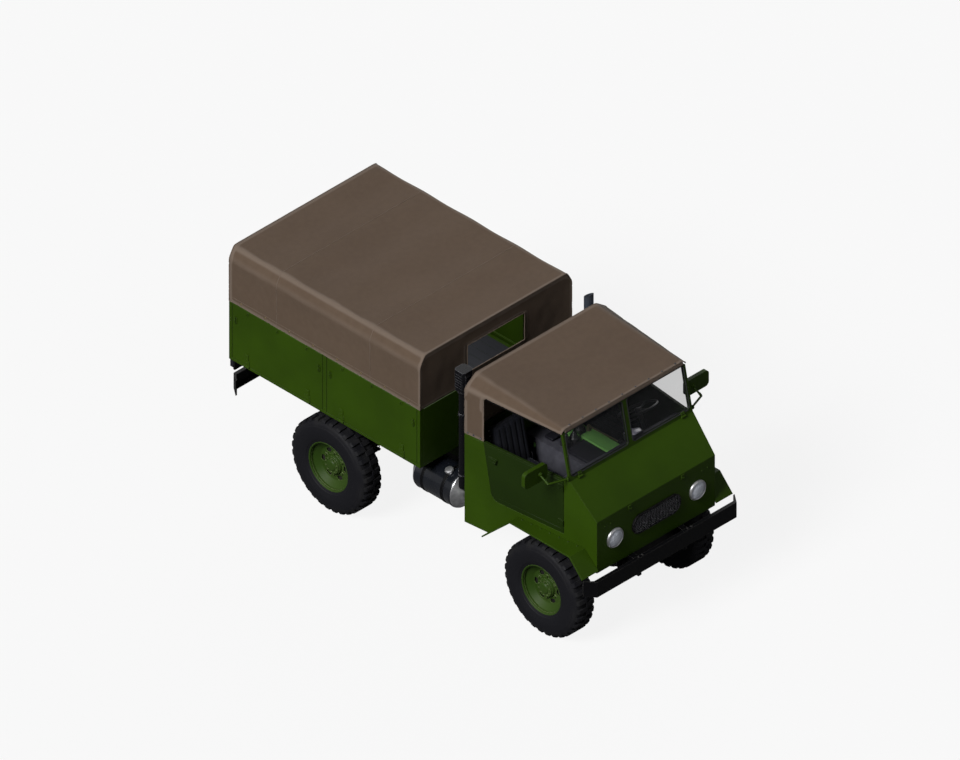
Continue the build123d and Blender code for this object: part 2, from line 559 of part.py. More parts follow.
with BuildPart() as controls:
    with BuildSketch(wheel_plane.offset(-30.3)):
        Circle(24)
    extrude(amount=-900)
    with Locations((DRIVER_X, FRONT_AXLE_Y, FLOOR_Z - 500)):
        Box(400, 2000, 1000, mode=Mode.SUBTRACT)
    for lever_x, lever_y, lever_height in LEVERS:
        with BuildSketch(Plane.XY.offset(COVER_TOP_Z)):
            with Locations((lever_x, FRONT_AXLE_Y + lever_y)):
                Rectangle(70, 90)
        extrude(amount=60)
        with BuildSketch(Plane.XY.offset(COVER_TOP_Z + 60)):
            with Locations((lever_x, FRONT_AXLE_Y + lever_y)):
                RegularPolygon(10, 6)
        extrude(amount=lever_height)
        with BuildSketch(Plane.XY.offset(COVER_TOP_Z + 40 + lever_height)):
            with Locations((lever_x, FRONT_AXLE_Y + lever_y)):
                RegularPolygon(22, 10)
        extrude(amount=40)
    for pedal_x in PEDALS:
        with Locations((pedal_x, PEDAL_Y, FLOOR_Z + 60)):
            Box(16, 30, 120)
        with Locations(Location((pedal_x, PEDAL_Y + 10, FLOOR_Z + 135), (-40, 0, 0))):
            Box(76, 16, 100)
save(controls, "controls")

for name, side in SIDES:
    with BuildPart() as seat:
        with Locations((side * DRIVER_X, SEAT_Y, SEAT_FOOT_Z + 55)):
            Box(430, 440, 110)
        with BuildSketch(across(side * DRIVER_X)):
            with Locations(Location((SEAT_Y + 252, SEAT_FOOT_Z + 310), -12)):
                Rectangle(100, 560)
        extrude(amount=215, both=True)
        chamfer(seat.edges().filter_by(Axis.X).group_by(Axis.Z)[-1], 30)
        chamfer(seat.edges().group_by(Axis.Y)[0], 20)
    save(seat, f"seat_{name}")

# ---------------------------------------------------------------- nose fittings
BEZEL_DEPTH = 22
BEZEL_R = LAMP_R - 16
LENS_R = BEZEL_R - 0.3
LENS_DEPTH = 26
LAMP_PLACES = ((LAMP_X, LAMP_Z), (-LAMP_X, LAMP_Z))

with BuildPart() as headlamps:
    with BuildSketch(Plane.XZ.offset(-CAB_FRONT_Y)):
        with Locations(*LAMP_PLACES):
            RegularPolygon(LAMP_R, LAMP_SIDES, major_radius=False)
    extrude(amount=BEZEL_DEPTH)
    chamfer(headlamps.faces().sort_by(Axis.Y)[:2].edges(), 8)
    with BuildSketch(Plane.XZ.offset(-CAB_FRONT_Y)):
        with Locations(*LAMP_PLACES):
            RegularPolygon(BEZEL_R - 0.4, LAMP_SIDES, major_radius=False)
    extrude(amount=-26)
    with BuildSketch(Plane.XZ.offset(-CAB_FRONT_Y + 2)):
        with Locations(*LAMP_PLACES):
            RegularPolygon(BEZEL_R, LAMP_SIDES, major_radius=False)
    extrude(amount=BEZEL_DEPTH + 10, mode=Mode.SUBTRACT)
save(headlamps, "headlamps")

with BuildPart() as headlamp_lenses:
    with BuildSketch(Plane.XZ.offset(-CAB_FRONT_Y + 2)):
        with Locations(*LAMP_PLACES):
            RegularPolygon(LENS_R, LAMP_SIDES, major_radius=False)
    extrude(amount=LENS_DEPTH)
    for _, side in SIDES:
        own_faces = headlamp_lenses.faces().filter_by(lambda face: face.center().X * side > 0)
        front = own_faces.sort_by(Axis.Y)[0]
        chamfer(front.edges(), length=40, length2=10, reference=front)
save(headlamp_lenses, "headlamp_lenses")

# Radiator grille: upright slats and a middle bar in an oblong rim.
SLAT_STEP = 42
GRILLE_Z = (GRILLE_LOW_Z + GRILLE_HIGH_Z) / 2
GRILLE_HEIGHT = GRILLE_HIGH_Z - GRILLE_LOW_Z
# place of a slat counted from the middle, its share of the rim's height
SLATS = tuple((k, 0.85 if abs(k) < 5 else 0.65) for k in range(-6, 7))
with BuildPart() as grille:
    with BuildSketch(Plane.XZ.offset(-CAB_FRONT_Y)):
        with Locations((0, GRILLE_Z)):
            add(oblong(2 * GRILLE_HALF, GRILLE_HEIGHT))
            add(oblong(2 * GRILLE_HALF - 50, GRILLE_HEIGHT - 50), mode=Mode.SUBTRACT)
            for k, share in SLATS:
                with Locations((k * SLAT_STEP, 0)):
                    Rectangle(14, share * GRILLE_HEIGHT)
            Rectangle(2 * GRILLE_HALF - 40, 12)
    extrude(amount=14)
save(grille, "grille")

# Bumpers: a pressed channel whose ends sweep back.
BUMPER_HALF = 950
BUMPER_SWEPT_HALF = 1033
BUMPER_DEPTH = 111
BUMPER_SHEET = 12


def bumper_plan():
    """The bumper's plan on the front: its face, its swept ends and its open back."""
    with BuildSketch(Plane.XY.offset(BUMPER_BOTTOM_Z)) as plan:
        Polygon((-BUMPER_SWEPT_HALF, NOSE_Y + BUMPER_DEPTH), (-BUMPER_HALF, NOSE_Y), (BUMPER_HALF, NOSE_Y),
                (BUMPER_SWEPT_HALF, NOSE_Y + BUMPER_DEPTH),
                (BUMPER_SWEPT_HALF - 20, NOSE_Y + BUMPER_DEPTH),
                (BUMPER_HALF - 10, NOSE_Y + BUMPER_SHEET), (-BUMPER_HALF + 10, NOSE_Y + BUMPER_SHEET),
                (-BUMPER_SWEPT_HALF + 20, NOSE_Y + BUMPER_DEPTH), align=None)
    return plan.sketch


with BuildPart() as bumper_form:
    extrude(bumper_plan(), amount=BUMPER_TOP_Z - BUMPER_BOTTOM_Z)
    for z in (BUMPER_BOTTOM_Z, BUMPER_TOP_Z - BUMPER_SHEET):
        with BuildSketch(Plane.XY.offset(z)):
            Polygon((-BUMPER_SWEPT_HALF, NOSE_Y + BUMPER_DEPTH), (-BUMPER_HALF, NOSE_Y),
                    (BUMPER_HALF, NOSE_Y), (BUMPER_SWEPT_HALF, NOSE_Y + BUMPER_DEPTH),
                    (BUMPER_HALF, NOSE_Y + 40), (-BUMPER_HALF, NOSE_Y + 40), align=None)
        extrude(amount=BUMPER_SHEET)

with BuildPart() as bumpers:
    add(bumper_form.part)
    add(bumper_form.part.rotate(Axis.Z, 180))
    with Locations((0, REAR_Y - 20, (BUMPER_BOTTOM_Z + BUMPER_TOP_Z) / 2)):
        Box(260, 100, 300, mode=Mode.SUBTRACT)
save(bumpers, "bumpers")

# Towing jaw between the rear bumper halves: two plates and an upright pin hole.
HITCH_Z = 900
PIN_R = 20
with BuildPart() as tow_hitch:
    with Locations((0, REAR_Y - 121, HITCH_Z)):
        Box(200, 18, 150)
    for jaw_z in (HITCH_Z - 54, HITCH_Z + 30):
        with BuildSketch(Plane.XY.offset(jaw_z)):
            with Locations((0, REAR_Y - 80)):
                Rectangle(100, 72)
            with Locations((0, REAR_Y - 50)):
                RegularPolygon(50, 12)
                Circle(PIN_R, mode=Mode.SUBTRACT)
        extrude(amount=24)
save(tow_hitch, "tow_hitch")

# Mirrors on bent tube arms from the screen's feet.
MIRROR_X = 1100
MIRROR_Y = FRONT_AXLE_Y - 81
MIRROR_Z = 1990
with BuildPart() as mirrors:
    for _, side in SIDES:
        with BuildSketch(Plane.XZ.offset(-MIRROR_Y - 22)):
            with Locations((side * MIRROR_X, MIRROR_Z)):
                RectangleRounded(310, 180, 45)
        extrude(amount=44)
        with BuildLine() as arm_line:
            Polyline((side * 820, SCREEN_FOOT_Y + 12, 1925), (side * 1044, FRONT_AXLE_Y - 210, 1925),
                     (side * 1044, MIRROR_Y, MIRROR_Z))
        with BuildSketch(Plane(origin=arm_line.line @ 0, z_dir=arm_line.line % 0)):
            RegularPolygon(11, 8)
        sweep(path=arm_line.line, transition=Transition.RIGHT)
    with Locations((0, SCREEN_FOOT_Y, 1925)):
        Box(2 * SCREEN_HALF, 200, 200, mode=Mode.SUBTRACT)
save(mirrors, "mirrors")

# ---------------------------------------------------------------- behind the cab
ENGINE_REAR_Y = FRONT_AXLE_Y + 880
PIPE_SIDES = 16
INTAKE_X = -870
INTAKE_Y = FRONT_AXLE_Y + 1115
with BuildPart() as air_intake:
    with BuildSketch(Plane.XY.offset(2300)) as head_plan:
        with Locations((INTAKE_X, INTAKE_Y)):
            Rectangle(140, 140)
        chamfer(head_plan.vertices(), 22)
    extrude(amount=240)
    with BuildLine() as duct_line:
        Polyline((INTAKE_X, INTAKE_Y, 2300), (INTAKE_X, INTAKE_Y, 1170), (INTAKE_X + 60, INTAKE_Y, 1110),
                 (-200, INTAKE_Y, 1110), (-200, ENGINE_REAR_Y, 1110))
    with BuildSketch(Plane(origin=(INTAKE_X, INTAKE_Y, 2300), z_dir=(0, 0, -1))):
        RegularPolygon(48, PIPE_SIDES, major_radius=False)
    sweep(path=duct_line.line, transition=Transition.RIGHT)
save(air_intake, "air_intake")

STACK_X = 870
STACK_Y = FRONT_AXLE_Y + 1150
STACK_R = 47
STACK_TOP_Z = 2560
with BuildPart() as exhaust:
    with BuildLine() as pipe_line:
        Polyline((STACK_X, STACK_Y, STACK_TOP_Z), (STACK_X, STACK_Y, 1160), (STACK_X - 30, STACK_Y, 1090),
                 (STACK_X - 100, STACK_Y, 1060), (200, STACK_Y, 1060), (200, ENGINE_REAR_Y, 1060))
    with BuildSketch(Plane(origin=(STACK_X, STACK_Y, STACK_TOP_Z), z_dir=(0, 0, -1))):
        RegularPolygon(STACK_R, PIPE_SIDES, major_radius=False)
    sweep(path=pipe_line.line, transition=Transition.RIGHT)
    with BuildSketch(Plane.XY.offset(STACK_TOP_Z)):
        with Locations((STACK_X, STACK_Y)):
            RegularPolygon(STACK_R - 5, PIPE_SIDES, major_radius=False)
    extrude(amount=-700, mode=Mode.SUBTRACT)
    with BuildSketch(across(STACK_X)):
        Polygon((STACK_Y - 60, STACK_TOP_Z + 10), (STACK_Y - 60, STACK_TOP_Z),
                (STACK_Y + 60, STACK_TOP_Z - 70), (STACK_Y + 60, STACK_TOP_Z + 10), align=None)
    extrude(amount=70, both=True, mode=Mode.SUBTRACT)
save(exhaust, "exhaust")

# Round tank lengthwise under the bed's front corner, with bright coned ends and a filler.
TANK_X = -700
TANK_Z = 955
TANK_R = 200
TANK_FRONT_Y = FRONT_AXLE_Y + 1280
TANK_REAR_Y = FRONT_AXLE_Y + 1770
TANK_CONE = 110                 # length of a coned end
FILLER_Y = TANK_FRONT_Y + 120
with BuildPart() as fuel_tank:
    with BuildSketch(Plane.XZ.offset(-TANK_FRONT_Y + TANK_CONE)):
        with Locations((TANK_X, TANK_Z)):
            RegularPolygon(TANK_R, 24, major_radius=False)
    extrude(amount=-(TANK_REAR_Y - TANK_FRONT_Y + 2 * TANK_CONE))
    for end in (0, -1):
        cap = fuel_tank.faces().sort_by(Axis.Y)[end]
        chamfer(cap.edges(), length=TANK_R - 90, length2=TANK_CONE, reference=cap)
    with Locations(((TANK_X - RAIL_X - RAIL_WIDTH / 2) / 2, (TANK_FRONT_Y + TANK_REAR_Y) / 2, TANK_Z - 60)):
        Box(abs(TANK_X) - RAIL_X - RAIL_WIDTH / 2, 60, 80)
    with BuildSketch(Plane(origin=(TANK_X - 60, FILLER_Y, TANK_Z + 150), z_dir=(-0.4, 0, 1))):
        RegularPolygon(42, 12)
    extrude(amount=75)
save(fuel_tank, "fuel_tank")

# ---------------------------------------------------------------- bed
BED_MID_Y = (BED_FRONT_Y + BED_REAR_Y) / 2
POST_PLACES = (BED_FRONT_Y + 20, BED_MID_Y, BED_REAR_Y - 20)
POST_WIDTHS = (40, 50, 40)
BEARERS = 5
BEARER_DEPTH = 66

with BuildPart() as bed_floor:
    with BuildSketch(Plane.XY.offset(BED_BOTTOM_Z)):
        with Locations((0, BED_MID_Y)):
            Rectangle(2 * BED_HALF, BED_REAR_Y - BED_FRONT_Y)
    extrude(amount=BED_FLOOR_Z - BED_BOTTOM_Z)
    for k in range(BEARERS):
        bearer_y = BED_FRONT_Y + 120 + k * (BED_REAR_Y - BED_FRONT_Y - 240) / (BEARERS - 1)
        with Locations((0, bearer_y, BED_BOTTOM_Z - BEARER_DEPTH / 2)):
            Box(1900, 70, BEARER_DEPTH)
    for _, side in SIDES:
        with Locations((side * RAIL_X, BED_MID_Y, (RAIL_TOP_Z + BED_BOTTOM_Z) / 2)):
            Box(RAIL_WIDTH, BED_REAR_Y - BED_FRONT_Y - 100, BED_BOTTOM_Z - RAIL_TOP_Z)
save(bed_floor, "bed_floor")

with BuildPart() as bed_posts:
    for _, side in SIDES:
        for post_y, post_width in zip(POST_PLACES, POST_WIDTHS):
            with Locations((side * (BED_HALF - POST / 2), post_y, (BED_FLOOR_Z + TARP_FOOT_Z) / 2)):
                Box(POST, post_width, TARP_FOOT_Z - BED_FLOOR_Z)
save(bed_posts, "bed_posts")

with BuildPart() as headboard:
    with Locations((0, BED_FRONT_Y + BOARD / 2, (BED_FLOOR_Z + BOARD_TOP_Z) / 2)):
        Box(2 * (BED_HALF - POST), BOARD, BOARD_TOP_Z - BED_FLOOR_Z)
save(headboard, "headboard")

# Drop boards: a hollow-backed pressing between rims, on hinge barrels level with the bed's floor.
GAP = 6
BOARD_RIM = 40
BOARD_SKIN = 12
HINGE_LENGTH = 70


def drop_board(length, hinge_places):
    """A board along X with its outer face on Y = 0, looking towards -Y, and its hinge pin on Z = 0."""
    foot_z = GAP
    height = BOARD_TOP_Z - BED_FLOOR_Z - GAP
    panels = 2 if length < 1500 else 3
    panel_width = (length - (panels + 1) * BOARD_RIM) / panels
    with BuildPart() as board:
        with Locations((0, BOARD / 2, foot_z + height / 2)):
            Box(length, BOARD, height)
        with BuildSketch(Plane.XZ.offset(-BOARD)):
            with Locations((0, foot_z + height / 2)):
                with GridLocations(panel_width + BOARD_RIM, 0, panels, 1):
                    Rectangle(panel_width, height - 2 * BOARD_RIM)
        extrude(amount=BOARD - BOARD_SKIN, mode=Mode.SUBTRACT)
        for hinge_x in hinge_places:
            with BuildSketch(Plane.YZ.offset(hinge_x - HINGE_LENGTH / 2)):
                with Locations((-3, 36)):
                    Rectangle(6, 64)
                with Locations((-HINGE_OUT, 0)):
                    Circle(HINGE_R)
            extrude(amount=HINGE_LENGTH)
    return board.part


board_spans = (("front", BED_FRONT_Y + 40, BED_MID_Y - 25), ("rear", BED_MID_Y + 25, BED_REAR_Y - 40))
for side_name, side in SIDES:
    for place, start_y, end_y in board_spans:
        length = end_y - start_y - 2 * GAP
        form = drop_board(length, (-length / 2 + 200, length / 2 - 200))
        with BuildPart() as board:
            add(Pos(side * BED_HALF, (start_y + end_y) / 2, BED_FLOOR_Z) * Rot(0, 0, side * 90) * form)
        save(board, f"side_board_{place}_{side_name}")

with BuildPart() as tailgate:
    form = drop_board(2 * (BED_HALF - POST - GAP), (-620, 620))
    add(Pos(0, BED_REAR_Y, BED_FLOOR_Z) * Rot(0, 0, 180) * form)
save(tailgate, "tailgate")

# Cover: a closed sheet over the bows, with a window in its front wall.
with BuildPart() as cargo_tarp:
    with BuildSketch(Plane.XZ.offset(-BED_FRONT_Y)):
        Polygon((BED_HALF, TARP_FOOT_Z), (BED_HALF, TARP_SHOULDER_Z), (TARP_TOP_HALF, TARP_TOP_Z),
                (-TARP_TOP_HALF, TARP_TOP_Z), (-BED_HALF, TARP_SHOULDER_Z), (-BED_HALF, TARP_FOOT_Z),
                align=None)
    extrude(amount=-(BED_REAR_Y - BED_FRONT_Y))
    with BuildSketch(Plane.XZ.offset(-BED_FRONT_Y - CLOTH)):
        Polygon((BED_HALF - CLOTH, TARP_FOOT_Z - 20), (BED_HALF - CLOTH, TARP_SHOULDER_Z - CLOTH / 3),
                (TARP_TOP_HALF - CLOTH / 2, TARP_TOP_Z - CLOTH),
                (-TARP_TOP_HALF + CLOTH / 2, TARP_TOP_Z - CLOTH),
                (-BED_HALF + CLOTH, TARP_SHOULDER_Z - CLOTH / 3), (-BED_HALF + CLOTH, TARP_FOOT_Z - 20),
                align=None)
    extrude(amount=-(BED_REAR_Y - BED_FRONT_Y - 2 * CLOTH), mode=Mode.SUBTRACT)
    with BuildSketch(Plane.XZ.offset(-BED_FRONT_Y + 5)):
        with Locations((0, 2200)):
            Rectangle(780, 320)
    extrude(amount=-30, mode=Mode.SUBTRACT)
save(cargo_tarp, "cargo_tarp")

# Five bows of square tube, the first, middle and last standing on the posts, tied by two rails.
BOW = 26
TIE = 20
TIE_Z = TARP_SHOULDER_Z - 40
bow_half = BED_HALF - CLOTH - 2
with BuildPart() as tarp_bows:
    for k in range(BOWS):
        bow_y = BED_FRONT_Y + 27 + k * (BED_REAR_Y - BED_FRONT_Y - 54) / (BOWS - 1)
        foot_z = TARP_FOOT_Z if k % 2 == 0 else TIE_Z - BOW
        with BuildSketch(Plane.XZ.offset(-bow_y - BOW / 2)):
            Polygon((bow_half, foot_z), (bow_half, TARP_SHOULDER_Z - 6),
                    (TARP_TOP_HALF - 7, TARP_TOP_Z - 12),
                    (-TARP_TOP_HALF + 7, TARP_TOP_Z - 12), (-bow_half, TARP_SHOULDER_Z - 6),
                    (-bow_half, foot_z), (-bow_half + BOW, foot_z), (-bow_half + BOW, TARP_SHOULDER_Z - 12),
                    (-TARP_TOP_HALF + 22, TARP_TOP_Z - 12 - BOW),
                    (TARP_TOP_HALF - 22, TARP_TOP_Z - 12 - BOW),
                    (bow_half - BOW, TARP_SHOULDER_Z - 12), (bow_half - BOW, foot_z), align=None)
        extrude(amount=BOW)
save(tarp_bows, "tarp_bows")

with BuildPart() as tarp_rails:
    for _, side in SIDES:
        with Locations((side * (bow_half - BOW - TIE / 2), BED_MID_Y, TIE_Z)):
            Box(TIE, BED_REAR_Y - BED_FRONT_Y - 30, BOW)
save(tarp_rails, "tarp_rails")

# Tail lamps under the bed's rear corners.
with BuildPart() as tail_lamps:
    for _, side in SIDES:
        with Locations((side * 975, BED_REAR_Y - 34, BED_BOTTOM_Z - 50)):
            Box(100, 56, 100)
    chamfer(tail_lamps.edges().filter_by(Axis.Y), 10)
save(tail_lamps, "tail_lamps")

# ---------------------------------------------------------------- wheels and steering
WHEEL_PLACES = (("front_left", 1, FRONT_AXLE_Y), ("front_right", -1, FRONT_AXLE_Y),
                ("rear_left", 1, REAR_AXLE_Y), ("rear_right", -1, REAR_AXLE_Y))
WHEEL_SIDES = 20                # flats of a tyre's wall and of a rim
LUG_END_X = 104
LUG_OVERLAP = 6                 # the two rows of lugs meet past the tyre's middle
LIP_X = 108.6                   # inner face of a rim's lip, clear of the tyre's bead
WALL_TOP_R = 484
WALL_WIDEST_R = (370, 400)      # the wall is widest between these


def tread_outline(row):
    """The tread seen along the axle: lugs and gaps in turn, where the two rows of lugs take turns."""
    step = math.pi / LUGS
    crown_r = TYRE_R / math.cos(step / 2)
    points = []
    for k in range(2 * LUGS):
        start, end = (k - 0.5) * step, (k + 0.5) * step
        points.append((TYRE_BASE_R * math.cos(start), TYRE_BASE_R * math.sin(start)))
        if k % 2 == row:
            points += [(crown_r * math.cos(turn), crown_r * math.sin(turn)) for turn in (start, end)]
    with BuildSketch() as outline:
        Polygon(*points, align=None)
    return outline.sketch


def flats(radius):
    """A many-sided disc, measured across its flats, in the plane of the enclosing sketch."""
    return RegularPolygon(radius, WHEEL_SIDES, major_radius=False)


# One tyre about the X axis: a bulged wall on each side, then two rows of shoulder lugs round the crown.
with BuildPart() as tyre_form:
    with BuildSketch(Plane.YZ.offset(-TYRE_HALF_WIDTH)):
        flats(WALL_TOP_R)
        RegularPolygon(BEAD_R + 0.3, WHEEL_SIDES, major_radius=False, mode=Mode.SUBTRACT)
    extrude(amount=2 * TYRE_HALF_WIDTH)
    slope_width = TYRE_HALF_WIDTH - LUG_END_X
    for end in (0, -1):
        wall = tyre_form.faces().sort_by(Axis.X)[end]
        chamfer(wall.outer_wire().edges(), length=WALL_TOP_R - WALL_WIDEST_R[1], length2=slope_width,
                reference=wall)
        wall = tyre_form.faces().sort_by(Axis.X)[end]
        chamfer(wall.inner_wires()[0].edges(), length=WALL_WIDEST_R[0] - BEAD_R, length2=slope_width,
                reference=wall)
    for row, outwards in ((0, 1), (1, -1)):
        with BuildSketch(Plane.YZ.offset(-outwards * LUG_OVERLAP)):
            add(tread_outline(row))
            RegularPolygon(400, WHEEL_SIDES, major_radius=False, mode=Mode.SUBTRACT)
        extrude(amount=outwards * (LUG_END_X + LUG_OVERLAP))

# One rim: barrel between two lips, a dished disc with six hand holes, and the hub's nave.
with BuildPart() as rim_form:
    with BuildSketch(Plane.YZ.offset(-LIP_X)):
        flats(BEAD_R)
    extrude(amount=2 * LIP_X)
    for outwards in (1, -1):
        with BuildSketch(Plane.YZ.offset(outwards * LIP_X)):
            flats(FLANGE_R)
        extrude(amount=outwards * 8)
    with BuildPart(mode=Mode.PRIVATE) as dish:
        with BuildSketch(Plane.YZ.offset(30)):
            flats(BEAD_R - 8)
        extrude(amount=90)
        floor = dish.faces().sort_by(Axis.X)[0]
        chamfer(floor.edges(), length=62, length2=44, reference=floor)
    add(dish.part, mode=Mode.SUBTRACT)
    with BuildSketch(Plane.YZ.offset(20)):
        flats(BEAD_R - 14)
    extrude(amount=-140, mode=Mode.SUBTRACT)
    with BuildSketch(Plane.YZ.offset(10)):
        with PolarLocations(152, 6):
            Rectangle(46, 70)
    extrude(amount=60, mode=Mode.SUBTRACT)
    with BuildPart(mode=Mode.PRIVATE) as nave:
        with BuildSketch(Plane.YZ.offset(26)):
            RegularPolygon(108, 12)
        extrude(amount=62)
        cap = nave.faces().sort_by(Axis.X)[-1]
        chamfer(cap.edges(), length=14, length2=30, reference=cap)
    add(nave.part)

for name, side, axle_y in WHEEL_PLACES:
    placed = Pos(side * TRACK / 2, axle_y, AXLE_Z) * Rot(0, 0, 0 if side > 0 else 180)
    with BuildPart() as tyre:
        add(placed * tyre_form.part)
    save(tyre, f"tyre_{name}")
    with BuildPart() as rim:
        add(placed * rim_form.part)
    save(rim, f"rim_{name}")

# Steering knuckles between the axle's forks, each with its stub and an arm that passes under the fork
# to the rod.
WEB_X = KINGPIN_X + 52
ARM_TOP_Z = AXLE_Z - FORK_GAP / 2 - FORK_ARM - 8
ARM_THICK = 20
for name, side in SIDES:
    with BuildPart() as knuckle:
        with Locations((side * KINGPIN_X, FRONT_AXLE_Y, AXLE_Z)):
            Cylinder(32, FORK_GAP - 1)
        with BuildSketch(Plane.YZ.offset(side * KINGPIN_X)):
            with Locations((FRONT_AXLE_Y, AXLE_Z)):
                RegularPolygon(45, 12)
        extrude(amount=side * 100)
        with Locations((side * WEB_X, FRONT_AXLE_Y, (AXLE_Z + ARM_TOP_Z - ARM_THICK) / 2)):
            Box(20, 60, AXLE_Z - ARM_TOP_Z + ARM_THICK)
        with BuildSketch(Plane.XY.offset(ARM_TOP_Z - ARM_THICK)):
            Polygon((side * (WEB_X + 10), FRONT_AXLE_Y + 30), (side * (WEB_X + 10), FRONT_AXLE_Y - 30),
                    (side * (TRACK_ROD_X + 22), FRONT_AXLE_Y - STEERING_ARM - 10),
                    (side * (TRACK_ROD_X - 22), FRONT_AXLE_Y - STEERING_ARM - 10),
                    (side * (TRACK_ROD_X - 22), FRONT_AXLE_Y - STEERING_ARM + 30),
                    (side * (KINGPIN_X - 10), FRONT_AXLE_Y + 30), align=None)
            with Locations((side * TRACK_ROD_X, FRONT_AXLE_Y - STEERING_ARM)):
                RegularPolygon(26, 12)
        extrude(amount=ARM_THICK)
    save(knuckle, f"knuckle_{name}")

TRACK_ROD_Z = ARM_TOP_Z + 22
with BuildPart() as track_rod:
    with BuildSketch(Plane.YZ.offset(-TRACK_ROD_X)):
        with Locations((FRONT_AXLE_Y - STEERING_ARM, TRACK_ROD_Z)):
            RegularPolygon(TRACK_ROD_R, 8)
    extrude(amount=2 * TRACK_ROD_X)
    with BuildSketch(Plane.XY.offset(ARM_TOP_Z + 0.5)):
        for _, side in SIDES:
            with Locations((side * TRACK_ROD_X, FRONT_AXLE_Y - STEERING_ARM)):
                Circle(20)
    extrude(amount=TRACK_ROD_Z - ARM_TOP_Z + 10)
save(track_rod, "track_rod")
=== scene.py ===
"""A four-wheel-drive military cargo truck, finished piece by piece round its solids. Metres; -Y is its front and +X
its left."""
import math

import bmesh
import bpy
import numpy as np
from mathutils import Matrix, Vector, noise
from mathutils.geometry import delaunay_2d_cdt


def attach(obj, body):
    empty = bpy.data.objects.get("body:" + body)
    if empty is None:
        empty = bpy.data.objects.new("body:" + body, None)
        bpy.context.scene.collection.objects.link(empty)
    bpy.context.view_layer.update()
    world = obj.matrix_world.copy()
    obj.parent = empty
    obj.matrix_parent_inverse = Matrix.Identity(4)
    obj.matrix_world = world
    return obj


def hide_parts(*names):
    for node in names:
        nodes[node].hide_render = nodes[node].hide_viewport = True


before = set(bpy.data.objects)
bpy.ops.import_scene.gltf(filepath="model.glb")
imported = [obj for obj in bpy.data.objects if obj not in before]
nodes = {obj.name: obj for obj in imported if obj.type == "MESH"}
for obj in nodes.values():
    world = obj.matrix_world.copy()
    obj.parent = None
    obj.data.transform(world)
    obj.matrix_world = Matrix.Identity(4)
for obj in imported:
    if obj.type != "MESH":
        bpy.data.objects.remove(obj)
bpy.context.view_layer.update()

# ---------------------------------------------------------------- camera
# A parallel view over the truck's right front corner, from where its three axes look equally long, as in a
# technical drawing.
camera = bpy.data.objects.new("camera", bpy.data.cameras.new("camera"))
bpy.context.scene.collection.objects.link(camera)
bpy.context.scene.camera = camera
camera.data.type = "ORTHO"
camera.data.ortho_scale = 9.249
camera.data.clip_end = 60
towards_camera = Vector((-1, -1, 1)).normalized()
camera.location = Vector((0, 0.0696, 1.6485)) + towards_camera * 20
camera.rotation_euler = (-towards_camera).to_track_quat("-Z", "Y").to_euler()

# ---------------------------------------------------------------- studio
# A plain pale floor and sky that look white behind the truck, one broad lamp from its right side and two weak
# fills. The floor keeps a soft shadow, and a faint lamp stands for the daylight that comes through the canvas.


class Wire:
    """A socket in a material. Sums written with it add Math nodes, and node() adds any other."""

    def __init__(self, tree, socket=None):
        self.tree, self.socket = tree, socket

    def node(self, kind, settings=None, values=None, output=0):
        """Adds a node with its settings and its sockets' values or links; answers with one of its outputs."""
        made = self.tree.nodes.new("ShaderNode" + kind)
        for name, value in (settings or {}).items():
            setattr(made, name, value)
        for name, value in (values or {}).items():
            if isinstance(value, Wire):
                self.tree.links.new(value.socket, made.inputs[name])
            else:
                made.inputs[name].default_value = value
        return Wire(self.tree, made.outputs[output])

    def sum(self, operation, first, second=0.0):
        return self.node("Math", {"operation": operation}, {0: first, 1: second})

    def __add__(self, other):
        return self.sum("ADD", self, other)

    def __sub__(self, other):
        return self.sum("SUBTRACT", self, other)

    def __rsub__(self, other):
        return self.sum("SUBTRACT", other, self)

    def __mul__(self, other):
        return self.sum("MULTIPLY", self, other)

    def rise(self, low, high):
        """0 below low, 1 above high and smooth between them."""
        return self.node("MapRange", {"interpolation_type": "SMOOTHSTEP"},
                         {"Value": self, "From Min": low, "From Max": high})

    def tint(self, low, high):
        """The colour low where this value is 0, and high where it is 1."""
        low, high = (value if isinstance(value, Wire) else (*value, 1) for value in (low, high))
        return self.node("Mix", {"data_type": "RGBA"}, {0: self, 6: low, 7: high}, 2)

    def part(self, axis):
        return self.node("SeparateXYZ", None, {0: self}, axis)

    def grain(self, size, detail=2.0):
        """Soft noise over the piece, with patches about size metres across."""
        return self.node("TexNoise", None, {"Vector": self.node("TexCoord", output="Object"), "Scale": 1 / size,
                                            "Detail": detail})

    def bump(self, strength, distance, height, **normal):
        return self.node("Bump", None, {"Strength": strength, "Distance": distance, "Height": height, **normal})

    def feed(self, **links):
        """Links values to the material's own shader; _ in a name stands for a space."""
        shader = self.tree.nodes["Principled BSDF"]
        for name, value in links.items():
            self.tree.links.new(value.socket, shader.inputs[name.replace("_", " ")])


def surface(name, **values):
    """A new material, with what is the same all over it set on its shader; also the start of its nodes."""
    material = bpy.data.materials.new(name)
    material.use_nodes = True
    shader = material.node_tree.nodes["Principled BSDF"]
    for socket, value in values.items():
        shader.inputs[socket.replace("_", " ")].default_value = value
    return material, Wire(material.node_tree)


def mottled(name, size, low, high, rough=None, fine=None, detail=2.0, spread=None, alpha=None, bump=None, **values):
    """A material between two colours in patches of a size. rough and alpha are each a value and what the patches
    add to it, but where fine is given, noise of that size is added to the roughness instead."""
    material, start = surface(name, **values)
    patches = start.grain(size, detail)
    start.feed(Base_Color=(patches.rise(*spread) if spread else patches).tint(low, high))
    if rough:
        start.feed(Roughness=(start.grain(fine) if fine else patches) * rough[1] + rough[0])
    if alpha:
        start.feed(Alpha=patches * alpha[1] + alpha[0])
    if bump:
        start.feed(Normal=start.bump(*bump, patches))
    return material


def show(thing):
    """Puts an object in the scene."""
    bpy.context.scene.collection.objects.link(thing)
    return thing


